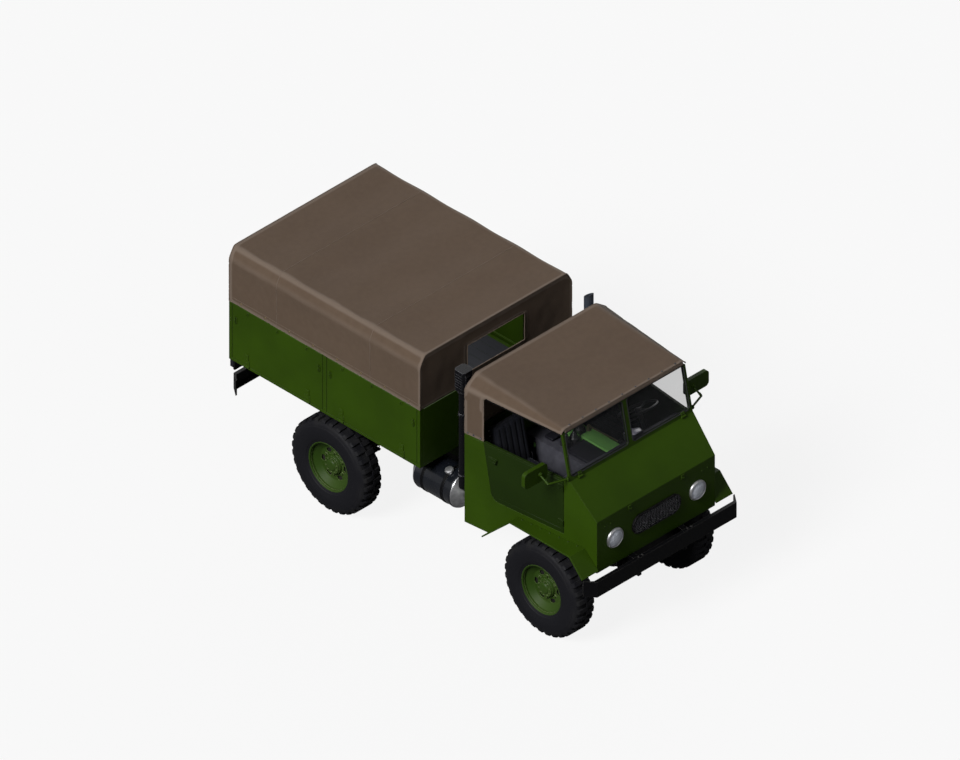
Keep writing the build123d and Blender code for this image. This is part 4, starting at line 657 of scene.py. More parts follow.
# ---------------------------------------------------------------- cab
# Pressed steel panels welded into a tub with a flat nose, brush-painted green. The floor has a ribbed rubber mat,
# and the cover over the engine lifts off for service; its lid is painted light green as a painted highlight.
body_green = painted("body_green", (0.0205, 0.0460, 0.0010), (0.050, 0.075, 0.025), 0.50, dust=0.12, wear=0.45)
# The doors take a darker copy of the cab's green: painted shade on the door panels, whose paint is the cab's own.
door_shade_green = painted("door_shade_green", (0.0085, 0.0190, 0.0015), (0.040, 0.060, 0.020), 0.50, dust=0.1, wear=0.4)
dress(body_green, "cab_shell", "wings", "mirrors", "windscreen_frame")
dress(door_shade_green, "door_left", "door_right")
CAB_TAPER, CAB_REAR, CAB_HALF = 0.09963, -0.687, 0.9675
TURN_OUT = math.atan(CAB_TAPER)
NOSE_PANEL_Y = -2.328


def cab_side(y):
    """Half the cab's width at a distance along it."""
    return CAB_HALF - CAB_TAPER * (CAB_REAR - y)


def on_side(side, y, z, out=0.0):
    """A point on the cab's side, or out metres off it."""
    return (side * (cab_side(y) + out), y, z)


seams = Work()
for side, door in ((1, "door_left"), (-1, "door_right")):
    out = (side * math.cos(TURN_OUT), -math.sin(TURN_OUT), 0)
    panel, lever = Work(), Work()
    for z in (1.357, 1.393, 1.767, 1.803):
        for y in (-1.889, -1.863):
            panel.bolt(on_side(side, y, z, 0.0015), out, 0.012)
    for front_y, rear_y, z in ((-1.890, -0.946, 1.862), (-1.890, -1.110, 1.300)):
        panel.pipe([on_side(side, y, z, 0.0005) for y in (front_y, rear_y)], 0.004, 8)
    panel.block(on_side(side, -1.044, 1.711, 0.010), (0.024, 0.096, 0.022), Matrix.Rotation(side * TURN_OUT, 4, "Z"))
    panel.done(f"{door}_trim", door_shade_green, "body_green", door, edge=0.002, cuts=1)
    lining = cab_side(-1.1)
    lever.pipe([(side * (lining - 0.040), -1.06, 1.70), (side * (lining - 0.075), -1.06, 1.70),
                (side * (lining - 0.080), -1.15, 1.695)], 0.008)
    lever.done(f"{door}_lever", intake_black, "control_black", door)

    for ends in ((-0.700, -0.915), (-1.990, -1.930)):
        seams.pipe([on_side(side, y, 1.872, 0.001) for y in ends], 0.004, 8)
    for y, z in [(y, 1.846) for y in np.linspace(-0.74, -0.90, 4)] + [(-2.10, 1.50), (-2.10, 1.25)]:
        seams.rivet(on_side(side, y, z), out, 0.012)
    for y in np.linspace(-1.42, -2.10, 7):
        seams.bolt(on_side(side, y, 1.1965, 0.020), UP, 0.013)
    for x in (0.62, 0.70):
        seams.bolt((side * x, NOSE_PANEL_Y, 1.47), AHEAD, 0.012)
    x = side * 0.36
    seams.block((x, NOSE_PANEL_Y - 0.0045, 1.526), (0.044, 0.009, 0.052))
    seams.pipe(((x - 0.016, -2.340, 1.524), (x, -2.343, 1.512), (x + 0.016, -2.340, 1.524)), 0.0035, 8)
for x in np.linspace(-0.76, 0.76, 9):
    seams.rivet((x, NOSE_PANEL_Y, 1.535), AHEAD, 0.010)
seams.done("cab_fixings", body_green, "body_green", edge=0.0015, cuts=1)

# The mat's greys are raised above the rubber's own dark shade: painted light in the cab, which the canvas roof shades.
floor_mat_painted_light = mottled("floor_mat_painted_light", 0.08, (0.030, 0.030, 0.038), (0.044, 0.044, 0.054), rough=(0.6, 0.3), detail=5.0,
                    spread=(0.35, 0.7), bump=(0.2, 0.001), Specular_IOR_Level=0.3)
dress(floor_mat_painted_light, "cab_floor", "engine_cover")
matting = Work()
for low_x in (-0.760, 0.335):
    matting.box((low_x, -1.92, 1.1965), (low_x + 0.425, -1.40, 1.202))
    for k in range(18):
        matting.block((low_x + 0.020 + k * 0.0232, -1.66, 1.20375), (0.010, 0.49, 0.0045))
matting.done("cab_mat", floor_mat_painted_light, "floor_grey", edge=0.001, cuts=1)

# A light copy of the green paint: the lid's colour is a painted highlight, the green as it looks where light falls.
lid_highlight_green = painted("lid_highlight_green", (0.17, 0.42, 0.10), (0.16, 0.15, 0.13), 0.4, dust=0.1, wear=0.5)
khaki = painted("khaki", (0.105, 0.095, 0.050), STEEL_BARE, 0.45, dust=0.1, wear=0.4)
dark_box = painted("dark_box", (0.012, 0.012, 0.016), STEEL_BARE, 0.4, dust=0.1, wear=0.3)
cowl, brake, boxes = Work(), Work(), Work()
COWL_LEAN, COWL_FOOT_X, COWL_FOOT_Z = math.radians(8), 0.290, 1.196
for side in SIDES:
    for z in (1.24, 1.50):
        for y in (-1.60, -0.92):
            cowl.block((side * (COWL_FOOT_X - (z - COWL_FOOT_Z) * math.tan(COWL_LEAN)), y, z), (0.012, 0.032, 0.048),
                       Matrix.Rotation(-side * COWL_LEAN, 4, "Y"))
for y in np.linspace(-1.70, -0.82, 6):
    for x in (0.035, 0.205):
        cowl.rivet((x, y, 1.596), UP, 0.014)
cowl.box((0.010, -1.740, 1.579), (0.232, -0.790, 1.596))
cowl.box((0.040, -1.640, 1.590), (0.205, -1.260, 1.640))
cowl.pipe(((0.07, -0.86, 1.590), (0.07, -0.86, 1.618), (0.17, -0.86, 1.618), (0.17, -0.86, 1.590)), 0.006, 10)
cowl.done("cover_lid", lid_highlight_green, "body_green", edge=0.005)
brake.pipe(((0.157, -1.250, 1.690), (0.180, -1.700, 1.690)), 0.0085, 14)
brake.box((0.140, -1.275, 1.590), (0.174, -1.240, 1.700))
brake.done("brake_lever", khaki, "floor_grey", edge=0.003)
boxes.box((-0.20, -1.62, 1.581), (0.06, -1.30, 1.618))
boxes.box((0.165, -1.740, 1.672), (0.195, -1.640, 1.708))
boxes.box((-0.17, -1.09, 1.581), (-0.05, -0.98, 1.612))
boxes.done("cover_boxes", dark_box, "control_black", edge=0.006)

# ---------------------------------------------------------------- controls and dashboard
# Moulded rim and knobs, pressed pedals with rubber treads, and a steel dashboard with round gauges in turned
# bezels. The six-sided instrument housing has a clear face.
control_black = mottled("control_black", 0.03, (0.009, 0.009, 0.010), (0.018, 0.018, 0.020), rough=(0.28, 0.25),
                        detail=4.0, Specular_IOR_Level=0.5)
dress(control_black, "controls")
# The dashboard takes a paler copy of the boxes' dark grey: painted light in the cab, which the canvas roof shades.
dash_grey_painted_light = painted("dash_grey_painted_light", (0.045, 0.045, 0.056), STEEL_BARE, 0.45, dust=0.1, wear=0.3)
dress(dash_grey_painted_light, "dashboard")
WHEEL_AXIS = Vector((0, 0.5, 0.866)).normalized()
WHEEL_CENTRE = Vector((0.580, -1.502, 1.800))
RIM_R, RIM_THICK, RIM_WIDE = 0.203, 0.0125, 0.0118
wheel = Work(placed(WHEEL_CENTRE, WHEEL_AXIS))
wheel.turned([(RIM_THICK * math.sin(t), RIM_R + RIM_WIDE * math.cos(t)) for t in turns(16)], sides=96, closed=True)
wheel.turned(((-0.030, 0.024), (-0.026, 0.036), (0.004, 0.038), (0.012, 0.034), (0.016, 0.024), (0.018, 0)), sides=40)
for turn in turns(3, math.pi / 2):
    wheel.pipe([polar(r, turn, h) for r, h in ((0.025, -0.008), (0.060, -0.008), (0.110, -0.009), (0.160, -0.006),
                                               (0.200, 0.0))], 0.0095, 14)
wheel.done("steering_rim", control_black, "control_black", "steering_wheel", "steering_wheel", crease=40)

knobs = Work()
KNOB_R = 0.026
BOOT = [(0.0, 0.050)] + [(z + 0.018 * k, r - 0.008 * k) for k in range(4) for z, r in ((0.010, 0.046), (0.019, 0.038))]
for lever_x, lever_y, top_z in ((-0.12, -1.222, 1.880), (-0.03, -1.242, 1.940), (0.12, -1.172, 1.840)):
    knobs.turned([(KNOB_R * math.sin(t), KNOB_R * math.cos(t)) for t in np.linspace(-1.2, math.pi / 2 - 0.12, 11)]
                 + [(KNOB_R, 0)], (lever_x, lever_y, top_z), sides=28)
    knobs.turned(BOOT + [(0.088, 0.010)], (lever_x, lever_y, 1.640))
PEDAL_SLOPE = Matrix.Rotation(math.radians(-40), 4, "X")
for pedal_x in (0.45, 0.57, 0.69):
    middle = Vector((pedal_x, -2.012, 1.331)) + PEDAL_SLOPE @ Vector((0, 0.0095, 0))
    knobs.block(middle, (0.072, 0.006, 0.094), PEDAL_SLOPE)
    for k in range(5):
        knobs.block(middle + PEDAL_SLOPE @ Vector((0, 0.004, -0.034 + 0.017 * k)), (0.068, 0.006, 0.006), PEDAL_SLOPE)
stalk = WHEEL_CENTRE - WHEEL_AXIS * 0.075
knobs.pipe([stalk, stalk + Vector((-0.08, 0, 0.004)), stalk + Vector((-0.135, 0, 0.016))], 0.0045, 10)
knobs.turned(((0.0, 0.0085), (0.028, 0.0095), (0.032, 0.006), (0.033, 0)), stalk + Vector((-0.128, 0, 0.015)),
             (-1, 0, 0.2), 16)
knobs.done("control_knobs", control_black, "control_black", edge=0.001, cuts=1)

dial_face, start = surface("dial_face", Roughness=0.35, Coat_Weight=0.8, Coat_Roughness=0.03)
place = start.node("TexCoord", output="UV")
radius = start.node("VectorMath", {"operation": "LENGTH"}, {0: place}, "Value")
turn = start.sum("ARCTAN2", place.part("X"), place.part("Y"))
tick = start.sum("COSINE", turn * 12.0).rise(0.86, 0.96) * radius.rise(0.66, 0.68) * (1.0 - radius.rise(0.88, 0.90))
tick = tick * (1.0 - start.sum("ABSOLUTE", turn).rise(2.5, 2.6))
start.feed(Base_Color=tick.tint((0.012, 0.012, 0.014), (0.7, 0.7, 0.66)))
needle_red = mottled("needle_red", 0.01, (0.45, 0.03, 0.01), (0.55, 0.05, 0.02), Roughness=0.4)
DASH_TILT = Vector((0, 1, 0.07)).normalized()
GAUGE_Y, GAUGE_Z = -1.78403, 1.722
bezels, faces, needles = Work(), Work(), Work()
dial = faces.mesh.loops.layers.uv.new("dial")
# x, size and where the needle points
for x, size, point in ((0.470, 0.040, -0.9), (0.580, 0.052, 0.5), (0.690, 0.040, 1.4), (-0.40, 0.030, 0.0)):
    spot = Vector((x, GAUGE_Y, GAUGE_Z))
    bezels.turned(((-0.004, size + 0.006), (0.006, size + 0.006), (0.010, size + 0.002), (0.009, size - 0.003),
                   (0.002, size - 0.003)), spot, DASH_TILT, 40)
    lie = placed(spot + DASH_TILT * 0.0025, DASH_TILT)
    loop = ring(size - 0.002, 40)
    face = faces.mesh.faces.new([faces.mesh.verts.new(lie @ p.to_3d()) for p in loop])
    for corner, p in zip(face.loops, loop):
        corner[dial].uv = p / size
    tip = lie @ Vector((math.sin(point) * size * 0.8, math.cos(point) * size * 0.8, 0.002))
    needles.pipe([spot + DASH_TILT * 0.0045, tip], 0.0012, 6)
    needles.turned(((0, 0.004), (0.004, 0.004), (0.005, 0.002), (0.005, 0)), spot + DASH_TILT * 0.003, DASH_TILT, 12)
for k in range(6):
    bezels.turned(((0, 0.010), (0.004, 0.010), (0.004, 0.006), (0.016, 0.006), (0.018, 0.004), (0.018, 0)),
                  (0.10 - 0.055 * k, -1.7885, 1.690), DASH_TILT, 16)
bezels.done("gauge_bezels", bright_steel, "bright_steel")
faces.done("gauge_dials", dial_face, "control_black")
needles.done("gauge_needles", needle_red, "lamp_red")
pod_glass = mottled("pod_glass", 0.1, (0.42, 0.40, 0.50), (0.52, 0.50, 0.60), rough=(0.25, 0.1), fine=0.02,
                    Coat_Weight=0.5, Coat_Roughness=0.15)
POD_WAY = Vector((0, 0.35, 1)).normalized()
pod = Work()
pod_top = Vector((0.190, -1.844, 1.820)) + POD_WAY * 0.070
pod.turned(((0.0, 0.094), (0.006, 0.092), (0.009, 0.084), (0.0095, 0)), pod_top, POD_WAY, 6)
pod.done("pod_face", pod_glass, "clear_glass", edge=0.002)

# ---------------------------------------------------------------- windscreen
# Two flat panes of glass in rubber channels, in a welded steel frame painted like the cab. It folds forward on two
# hinges at its feet.
clear_glass = mottled("clear_glass", 0.35, (0.03, 0.032, 0.034), (0.05, 0.052, 0.054), rough=(0.05, 0.06), detail=5.0,
                      alpha=(0.20, 0.04), Specular_IOR_Level=0.25, IOR=1.5)
dress(clear_glass, "windscreen_glass")
seal_rubber = mottled("seal_rubber", 0.05, (0.010, 0.010, 0.011), (0.022, 0.022, 0.024), rough=(0.6, 0.2), fine=0.01,
                      Specular_IOR_Level=0.3)
SCREEN_FOOT = Vector((0, -1.994, 1.895))
SCREEN_UP = Vector((0, 0.112, 0.542)).normalized()
SCREEN_OUT = Vector((0, -SCREEN_UP.z, SCREEN_UP.y))
SCREEN_TALL = 0.5535
PANE_HALF_X, PANE_HALF_Z, PANE_CUT = 0.3875, 0.2375, 0.024


def screen(x, up, out):
    """A point by the screen: across, up along it and out from it."""
    return SCREEN_FOOT + Vector((x, 0, 0)) + SCREEN_UP * up + SCREEN_OUT * out


def cut_corners(half_x, half_z, cut_off):
    """An upright oblong with its corners cut off, round a middle at 0."""
    loop = []
    for sx, sz in ((1, 1), (-1, 1), (-1, -1), (1, -1)):
        ends = [(sx * half_x, sz * (half_z - cut_off)), (sx * (half_x - cut_off), sz * half_z)]
        loop += ends if sx * sz > 0 else ends[::-1]
    return loop


seals, brackets = Work(), Work()
SCREEN_LEAN = Matrix.Rotation(-0.204, 4, "X")
for side in SIDES:
    for out in (0.0, -0.028):
        loop = [screen(side * 0.418 + x, SCREEN_TALL / 2 + z, out)
                for x, z in cut_corners(PANE_HALF_X, PANE_HALF_Z, PANE_CUT)]
        seals.pipe(loop + loop[:2], 0.0055, 8)
    x = side * 0.70
    brackets.turned(((-0.030, 0), (-0.030, 0.011), (0.030, 0.011), (0.030, 0)), screen(x, 0.006, 0.012), LEFT, 20)
    brackets.block(screen(x, 0.030, 0.004), (0.048, 0.008, 0.052), SCREEN_LEAN)
    for up in (0.12, 0.27, 0.42):
        brackets.bolt(screen(side * 0.8215, up, 0.0005), SCREEN_OUT, 0.010)
    for dx in (-0.014, 0.014):
        brackets.bolt(screen(x + dx, 0.036, 0.008), SCREEN_OUT, 0.010)
seals.done("screen_seals", seal_rubber, "control_black")
brackets.done("screen_hinges", body_green, "body_green", edge=0.0015, cuts=1)

# ---------------------------------------------------------------- nose
# Round headlamps with fluted glass in turned rims, and woven wire mesh over the grille's slats. Both are screwed to
# the flat front panel.
lamp_glass = mottled("lamp_glass", 0.06, (0.74, 0.79, 0.92), (0.86, 0.90, 0.98), rough=(0.12, 0.12), detail=3.0,
                     alpha=(0.62, 0.15), Specular_IOR_Level=0.6)
start = Wire(lamp_glass.node_tree)
flutes = start.node("TexCoord", output="Object").part("X") * 520.0
start.feed(Normal=start.bump(0.6, 0.0015, start.sum("SINE", flutes)))
lamp_rims, bowls, lenses = Work(), Work(), Work()
LAMP_X, LAMP_Z, SCREWS_R, SCREWS_OUT = 0.562, 1.271, 0.1035, 0.0165


def bowl(deep, wide, curve, power, inner, count):
    """A dished or domed section: its middle stands at deep, and its edge at wide differs from it by curve."""
    return [(deep + curve * (r / wide) ** power, r) for r in np.linspace(wide, inner, count)]


for side in SIDES:
    spot = Vector((side * LAMP_X, NOSE_PANEL_Y, LAMP_Z))
    lamp_rims.turned(((0.0, 0.0945), (0.0, 0.110), (0.006, 0.110), (0.014, 0.1065), (0.020, 0.1015), (0.022, 0.0965),
                      (0.018, 0.0935), (0.006, 0.0935)), spot, AHEAD, 72, True)
    for turn in turns(3, math.pi / 2):
        screw = Vector((SCREWS_R * math.cos(turn), -SCREWS_OUT, SCREWS_R * math.sin(turn)))
        lamp_rims.bolt(spot + screw, AHEAD, 0.008)
    for profile, sides in ((bowl(-0.064, 0.0925, 0.068, 2, 0.012, 12) + [(-0.0638, 0)], 48),
                           (((-0.062, 0.011), (-0.030, 0.012), (-0.024, 0.008), (-0.022, 0)), 20),
                           (bowl(-0.067, 0.0942, 0.068, 2, 0.014, 8) + [(-0.067, 0)], 48)):
        bowls.turned(profile, spot, AHEAD, sides)
    lenses.turned(bowl(0.0275, 0.0930, -0.0185, 2.4, 0.008, 14) + [(0.0275, 0)], spot, AHEAD, 72)
lamp_rims.done("lamp_rims", bright_steel, "bright_steel", replaces="headlamps")
bowls.done("lamp_reflectors", bright_steel, "bright_steel", crease=50)
lenses.done("lamp_lenses", lamp_glass, "clear_glass", replaces="headlamp_lenses", crease=50)

dress(chassis_black, "grille")
GRILLE_Z, GRILLE_HALF, GRILLE_TALL = 1.2725, 0.330, 0.1125
MESH_HALF, MESH_TALL, MESH_STEP = GRILLE_HALF - 0.010, GRILLE_TALL - 0.010, 0.0205
FRAME_TALL, WIRE_Y, FRAME_Y = 0.105, -2.3440, -2.3445


def grille_reach(along, inner, half):
    """How far the oblong reaches across at a distance from its middle."""
    bend = max(0.0, abs(along) - (half - inner))
    return math.sqrt(max(0.0, inner * inner - bend * bend))


glint_steel = painted("glint_steel", (0.013, 0.013, 0.016), (0.30, 0.30, 0.32), 0.25, dust=0.05, wear=0.6)
mesh_wires, mesh_frame = Work(), Work()
for k in range(-15, 16):
    x = k * MESH_STEP
    tall = grille_reach(x, MESH_TALL, MESH_HALF)
    if tall > 0.01:
        mesh_wires.pipe([(x, WIRE_Y, GRILLE_Z - tall), (x, WIRE_Y, GRILLE_Z + tall)], 0.0020, 5)
for k in range(-4, 5):
    z = k * MESH_STEP
    wide = MESH_HALF - MESH_TALL + math.sqrt(MESH_TALL ** 2 - z * z)
    mesh_wires.pipe([(-wide, WIRE_Y - 0.001, GRILLE_Z + z), (wide, WIRE_Y - 0.001, GRILLE_Z + z)], 0.0020, 5)
mesh_wires.done("grille_mesh", glint_steel, "frame_black")
loop = [(math.copysign(GRILLE_HALF - GRILLE_TALL, math.cos(t)) + FRAME_TALL * math.cos(t), FRAME_Y,
         GRILLE_Z + FRAME_TALL * math.sin(t)) for t in np.linspace(-math.pi / 2 + 0.001, 1.5 * math.pi - 0.001, 60)]
mesh_frame.pipe(loop + loop[:2], 0.0045, 8)
for x in (-0.30, -0.12, 0.12, 0.30):
    for way in SIDES:
        tall = grille_reach(x, FRAME_TALL, GRILLE_HALF - 0.0075)
        mesh_frame.bolt((x, FRAME_Y - 0.003, GRILLE_Z + way * tall), AHEAD, 0.009)
mesh_frame.done("grille_frame", chassis_black, "frame_black")

# ---------------------------------------------------------------- mirrors
# Pressed steel shells, painted green, on ball joints at the ends of bent tube arms, which are screwed to the
# windscreen's feet. Silvered glass faces the driver.
silvered = mottled("silvered", 0.2, (0.80, 0.82, 0.84), (0.86, 0.87, 0.88), rough=(0.03, 0.05), fine=0.04, Metallic=1.0)
panes, joints = Work(), Work()
MIRROR_HALF_X, MIRROR_HALF_Z, MIRROR_BEND = 0.143, 0.078, 0.034
pane_loop = []
for first, (sx, sz) in enumerate(((1, 1), (-1, 1), (-1, -1), (1, -1))):
    middle = Vector((sx * (MIRROR_HALF_X - MIRROR_BEND), sz * (MIRROR_HALF_Z - MIRROR_BEND)))
    for turn in np.linspace(first * math.pi / 2, (first + 1) * math.pi / 2, 7):
        pane_loop.append(middle + polar(MIRROR_BEND, turn).to_2d())
for side in SIDES:
    upright = Matrix.Translation((side * 1.10, -1.7495, 1.990)) @ Matrix.Rotation(-math.pi / 2, 4, "X")
    pierced(panes, [pane_loop], upright, 0.0015)
    ball = Vector((side * 1.044, -1.797, 1.990))
    joints.turned([(0.019 * math.sin(t), 0.019 * math.cos(t)) for t in np.linspace(-1.45, 1.45, 12)], ball, BACK, 24)
    joints.turned(((0, 0.026), (0.008, 0.024), (0.010, 0.018)), ball + Vector((0, 0.002, 0)), AHEAD, 24)
    joints.turned(((-0.016, 0.0135), (0.016, 0.0135)), (side * 1.044, -1.885, 1.9355), (0, 0.885, 0.446), 20)
    joints.turned(((0, 0.024), (0.007, 0.024), (0.010, 0.020), (0.010, 0.011)), (side * 0.846, -1.972, 1.925),
                  (side * 0.94, 0.33, 0), 24)
panes.done("mirror_glass", silvered, "bright_steel")
joints.done("mirror_joints", body_green, "body_green")

# ---------------------------------------------------------------- seats
# Foam cushions and backs in black woven covers, sewn into upright channels, on pressed steel boxes. Pale studs hold
# the cover along the back's edge.
seat_cloth, start = surface("seat_cloth", Sheen_Weight=0.05, Sheen_Roughness=0.5, Specular_IOR_Level=0.15)
weave = start.node("TexWave", {"bands_direction": "X"}, {"Vector": start.node("TexCoord", output="Object"),
                                                         "Scale": 160.0, "Distortion": 0.5})
creases = start.grain(0.05, 4.0)
start.feed(Base_Color=creases.tint((0.0045, 0.0050, 0.0085), (0.010, 0.011, 0.016)), Roughness=weave * 0.15 + 0.75,
           Normal=start.bump(0.4, 0.002, weave * 0.2 + creases))
HIP_X = 0.580
LEAN = math.radians(12)
CHANNELS = 6
CORE_SMALLER, SETTLING_FRAMES, MOST_PUFF = 0.006, 20, 0.010
CHANNEL_DEEP, CHANNEL_WIDE = 0.011, 0.008
BORDER_IN, BORDER_DEEP, BORDER_WIDE = 0.022, 0.006, 0.006
STUD_X, STUD_OUT = 0.2135, 0.026


def share(value, whole):
    """0 at an edge or beyond it, and 1 from whole metres within it."""
    return max(0.0, min(1.0, value / whole))


def shaped(thing):
    """A new mesh of an object as its modifiers leave it; the modifiers go."""
    bpy.context.view_layer.update()
    mesh = bpy.data.meshes.new_from_object(thing.evaluated_get(bpy.context.evaluated_depsgraph_get()))
    thing.modifiers.clear()
    return mesh


def cushion(name, size, centre, turn, replaces):
    """A padded block: rounded, puffed up by its filling, then drawn in along its seams."""
    core = bmesh.new()
    bmesh.ops.create_cube(core, size=1, matrix=Matrix.Diagonal((*(value - CORE_SMALLER for value in size), 1)))
    bmesh.ops.bevel(core, geom=core.edges[:], offset=0.026, segments=4, profile=0.6, affect="EDGES")
    mesh = bpy.data.meshes.new(name)
    core.to_mesh(mesh)
    core.free()
    pad = show(bpy.data.objects.new(name, mesh))
    pad.modifiers.new("skin", "REMESH").voxel_size = 0.008
    pad.data = shaped(pad)
    filling = pad.modifiers.new("filling", "CLOTH")
    filling.settings.quality = 4
    filling.settings.use_pressure = True
    filling.settings.uniform_pressure_force = 4.0
    filling.settings.effector_weights.gravity = 0.0
    filling.point_cache.frame_end = SETTLING_FRAMES
    for moment in range(1, SETTLING_FRAMES + 1):
        bpy.context.scene.frame_set(moment)
    puffed = shaped(pad)
    bpy.context.scene.frame_set(1)
    for vertex, moved in zip(pad.data.vertices, puffed.vertices):
        shift = moved.co - vertex.co
        vertex.co += shift * min(1.0, MOST_PUFF / max(shift.length, 1e-9))
    step = size[0] / CHANNELS
    for vertex in pad.data.vertices:
        x, y, z = vertex.co
        seam = min(abs(x - (k - CHANNELS / 2) * step) for k in range(1, CHANNELS))
        front = share(z, size[2] * 0.45)
        edge = min(size[0] / 2 - abs(x), size[1] / 2 - abs(y))
        vertex.co.z -= front * CHANNEL_DEEP * math.exp(-(seam / CHANNEL_WIDE) ** 2) * share(edge, 0.03)
        vertex.co.z -= front * BORDER_DEEP * math.exp(-((edge - BORDER_IN) / BORDER_WIDE) ** 2)
    pad.data.materials.clear()
    pad.data.materials.append(seat_cloth)
    pad.data.shade_smooth()
    smoothing = pad.modifiers.new("fine", "SUBSURF")
    smoothing.levels = smoothing.render_levels = 1
    pad.location, pad.rotation_euler = centre, turn
    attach(pad, "chassis")
    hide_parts(replaces)


stud_white = mottled("stud_white", 0.01, (0.45, 0.45, 0.45), (0.62, 0.62, 0.60), rough=(0.35, 0.2), fine=0.004,
                     Specular_IOR_Level=0.5)
for side, name in ((1, "seat_left"), (-1, "seat_right")):
    hip, back_middle = side * HIP_X, Vector((side * HIP_X, -0.920, 1.683))
    cushion(f"{name}_pad", (0.425, 0.435, 0.105), (hip, -1.172, 1.425), (0, 0, 0), name)
    cushion(f"{name}_back", (0.425, 0.545, 0.095), back_middle, (math.pi / 2 - LEAN, 0, 0), name)
    studs, runners = Work(), Work()
    upright = Matrix.Translation(back_middle) @ Matrix.Rotation(-LEAN, 4, "X")
    for way in SIDES:
        for up in np.linspace(-0.21, 0.23, 9):
            studs.rivet(upright @ Vector((way * STUD_X, STUD_OUT, up)), (way, 0, 0), 0.013)
        runners.block((hip + way * 0.12, -1.165, 1.373), (0.028, 0.39, 0.016))
        runners.block((hip + way * 0.226, -0.975, 1.4425), (0.008, 0.070, 0.115), Matrix.Rotation(-LEAN, 4, "X"))
        runners.bolt((hip + way * 0.230, -0.985, 1.415), (way, 0, 0), 0.018)
    studs.done(f"{name}_studs", stud_white, "bright_steel")
    runners.pipe(((hip - 0.10, -1.395, 1.372), (hip - 0.10, -1.410, 1.366), (hip + 0.04, -1.410, 1.366)), 0.006, 10)
    runners.done(f"{name}_runners", dark_box, "frame_black", edge=0.0015, cuts=1)

# ---------------------------------------------------------------- cab canvas
# Heavy proofed canvas cut and sewn to a hoop and two rails, and tied to the screen's top. Its hems are doubled, and
# a clear flexible window is sewn into its back.
canvas_brown, start = surface("canvas_brown", Sheen_Weight=0.06, Sheen_Roughness=0.45, Specular_IOR_Level=0.10)
place = start.node("TexCoord", output="Object")
warp, weft = (start.node("TexWave", {"bands_direction": way}, {"Vector": place, "Scale": 190.0, "Distortion": 0.4})
              for way in "XY")
weather, mottle = start.grain(0.7, 5.0), start.grain(0.06, 5.0)
stain = (1.0 - place.part("Z").rise(1.9, 2.15)) * mottle.rise(0.4, 0.7)
rubbed = start.node("NewGeometry", output="Pointiness").rise(0.505, 0.53)
clean = (weather * 0.5 + mottle * 0.5).rise(0.3, 0.7).tint((0.081, 0.0555, 0.0385), (0.0925, 0.0645, 0.0450))
start.feed(Base_Color=(rubbed * 0.5).tint((stain * 0.3).tint(clean, (0.06, 0.046, 0.033)), (0.17, 0.135, 0.11)),
           Roughness=mottle * 0.12 + 0.80, Normal=start.bump(0.35, 0.002, warp * 0.12 + weft * 0.12 + mottle * 0.9))
dress(chassis_black, "roof_hoop")


def cloth(name, loops, step, form, material=canvas_brown, replaces=None, thick=0.003):
    """A sheet cut on the flat, loops being its outline and holes, and laid by form(a, b); thick behind its face."""
    where, faces = cut(loops, step)
    used = sorted({i for face in faces for i in face})
    place = {old: new for new, old in enumerate(used)}
    mesh = bpy.data.meshes.new(name)
    mesh.from_pydata([form(*where[i]) for i in used], [], [[place[i] for i in face] for face in faces])
    mesh.materials.append(material)
    mesh.shade_smooth()
    piece = show(bpy.data.objects.new(name, mesh))
    depth = piece.modifiers.new("depth", "SOLIDIFY")
    depth.thickness, depth.offset = thick, -1
    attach(piece, "chassis")
    if replaces:
        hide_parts(replaces)
    return piece


def ripple(x, y, z, size, tall):
    """Folds of tall metres at most, always inwards."""
    return tall * (0.5 + 0.5 * noise.noise(Vector((x, y, z)) / size))


def gable(half, top_half, foot, shoulder, top):
    """The outline of a wall under a roof whose shoulders slope."""
    return [(-half, foot), (half, foot), (half, shoulder), (top_half, top), (-top_half, top), (-half, shoulder)]


def oblong(low, high):
    """The four corners of an oblong between two of them."""
    return [low, (high[0], low[1]), high, (low[0], high[1])]


CANVAS_FRONT, HOOP_Y = -1.888, -0.719
CANVAS_FOOT, SHOULDER_Z, ROOF_TOP, ROOF_FALL = 1.890, 2.416, 2.527, 0.078
ROOF_TOP_HALF = 0.817
ROOF_SLOPE = (CAB_HALF - ROOF_TOP_HALF) / (ROOF_TOP - SHOULDER_Z)
# Lengths over the cloth: from its middle to its foot, up its side, and up to where the top begins.
ROOF_HALF, ROOF_SIDE, ROOF_CROWN = 1.530, 0.526, 0.713
ROOF_SAG, ROOF_FOLDS, BEND_PULL, BEND_WIDE = 0.011, 0.005, 0.004, 0.03


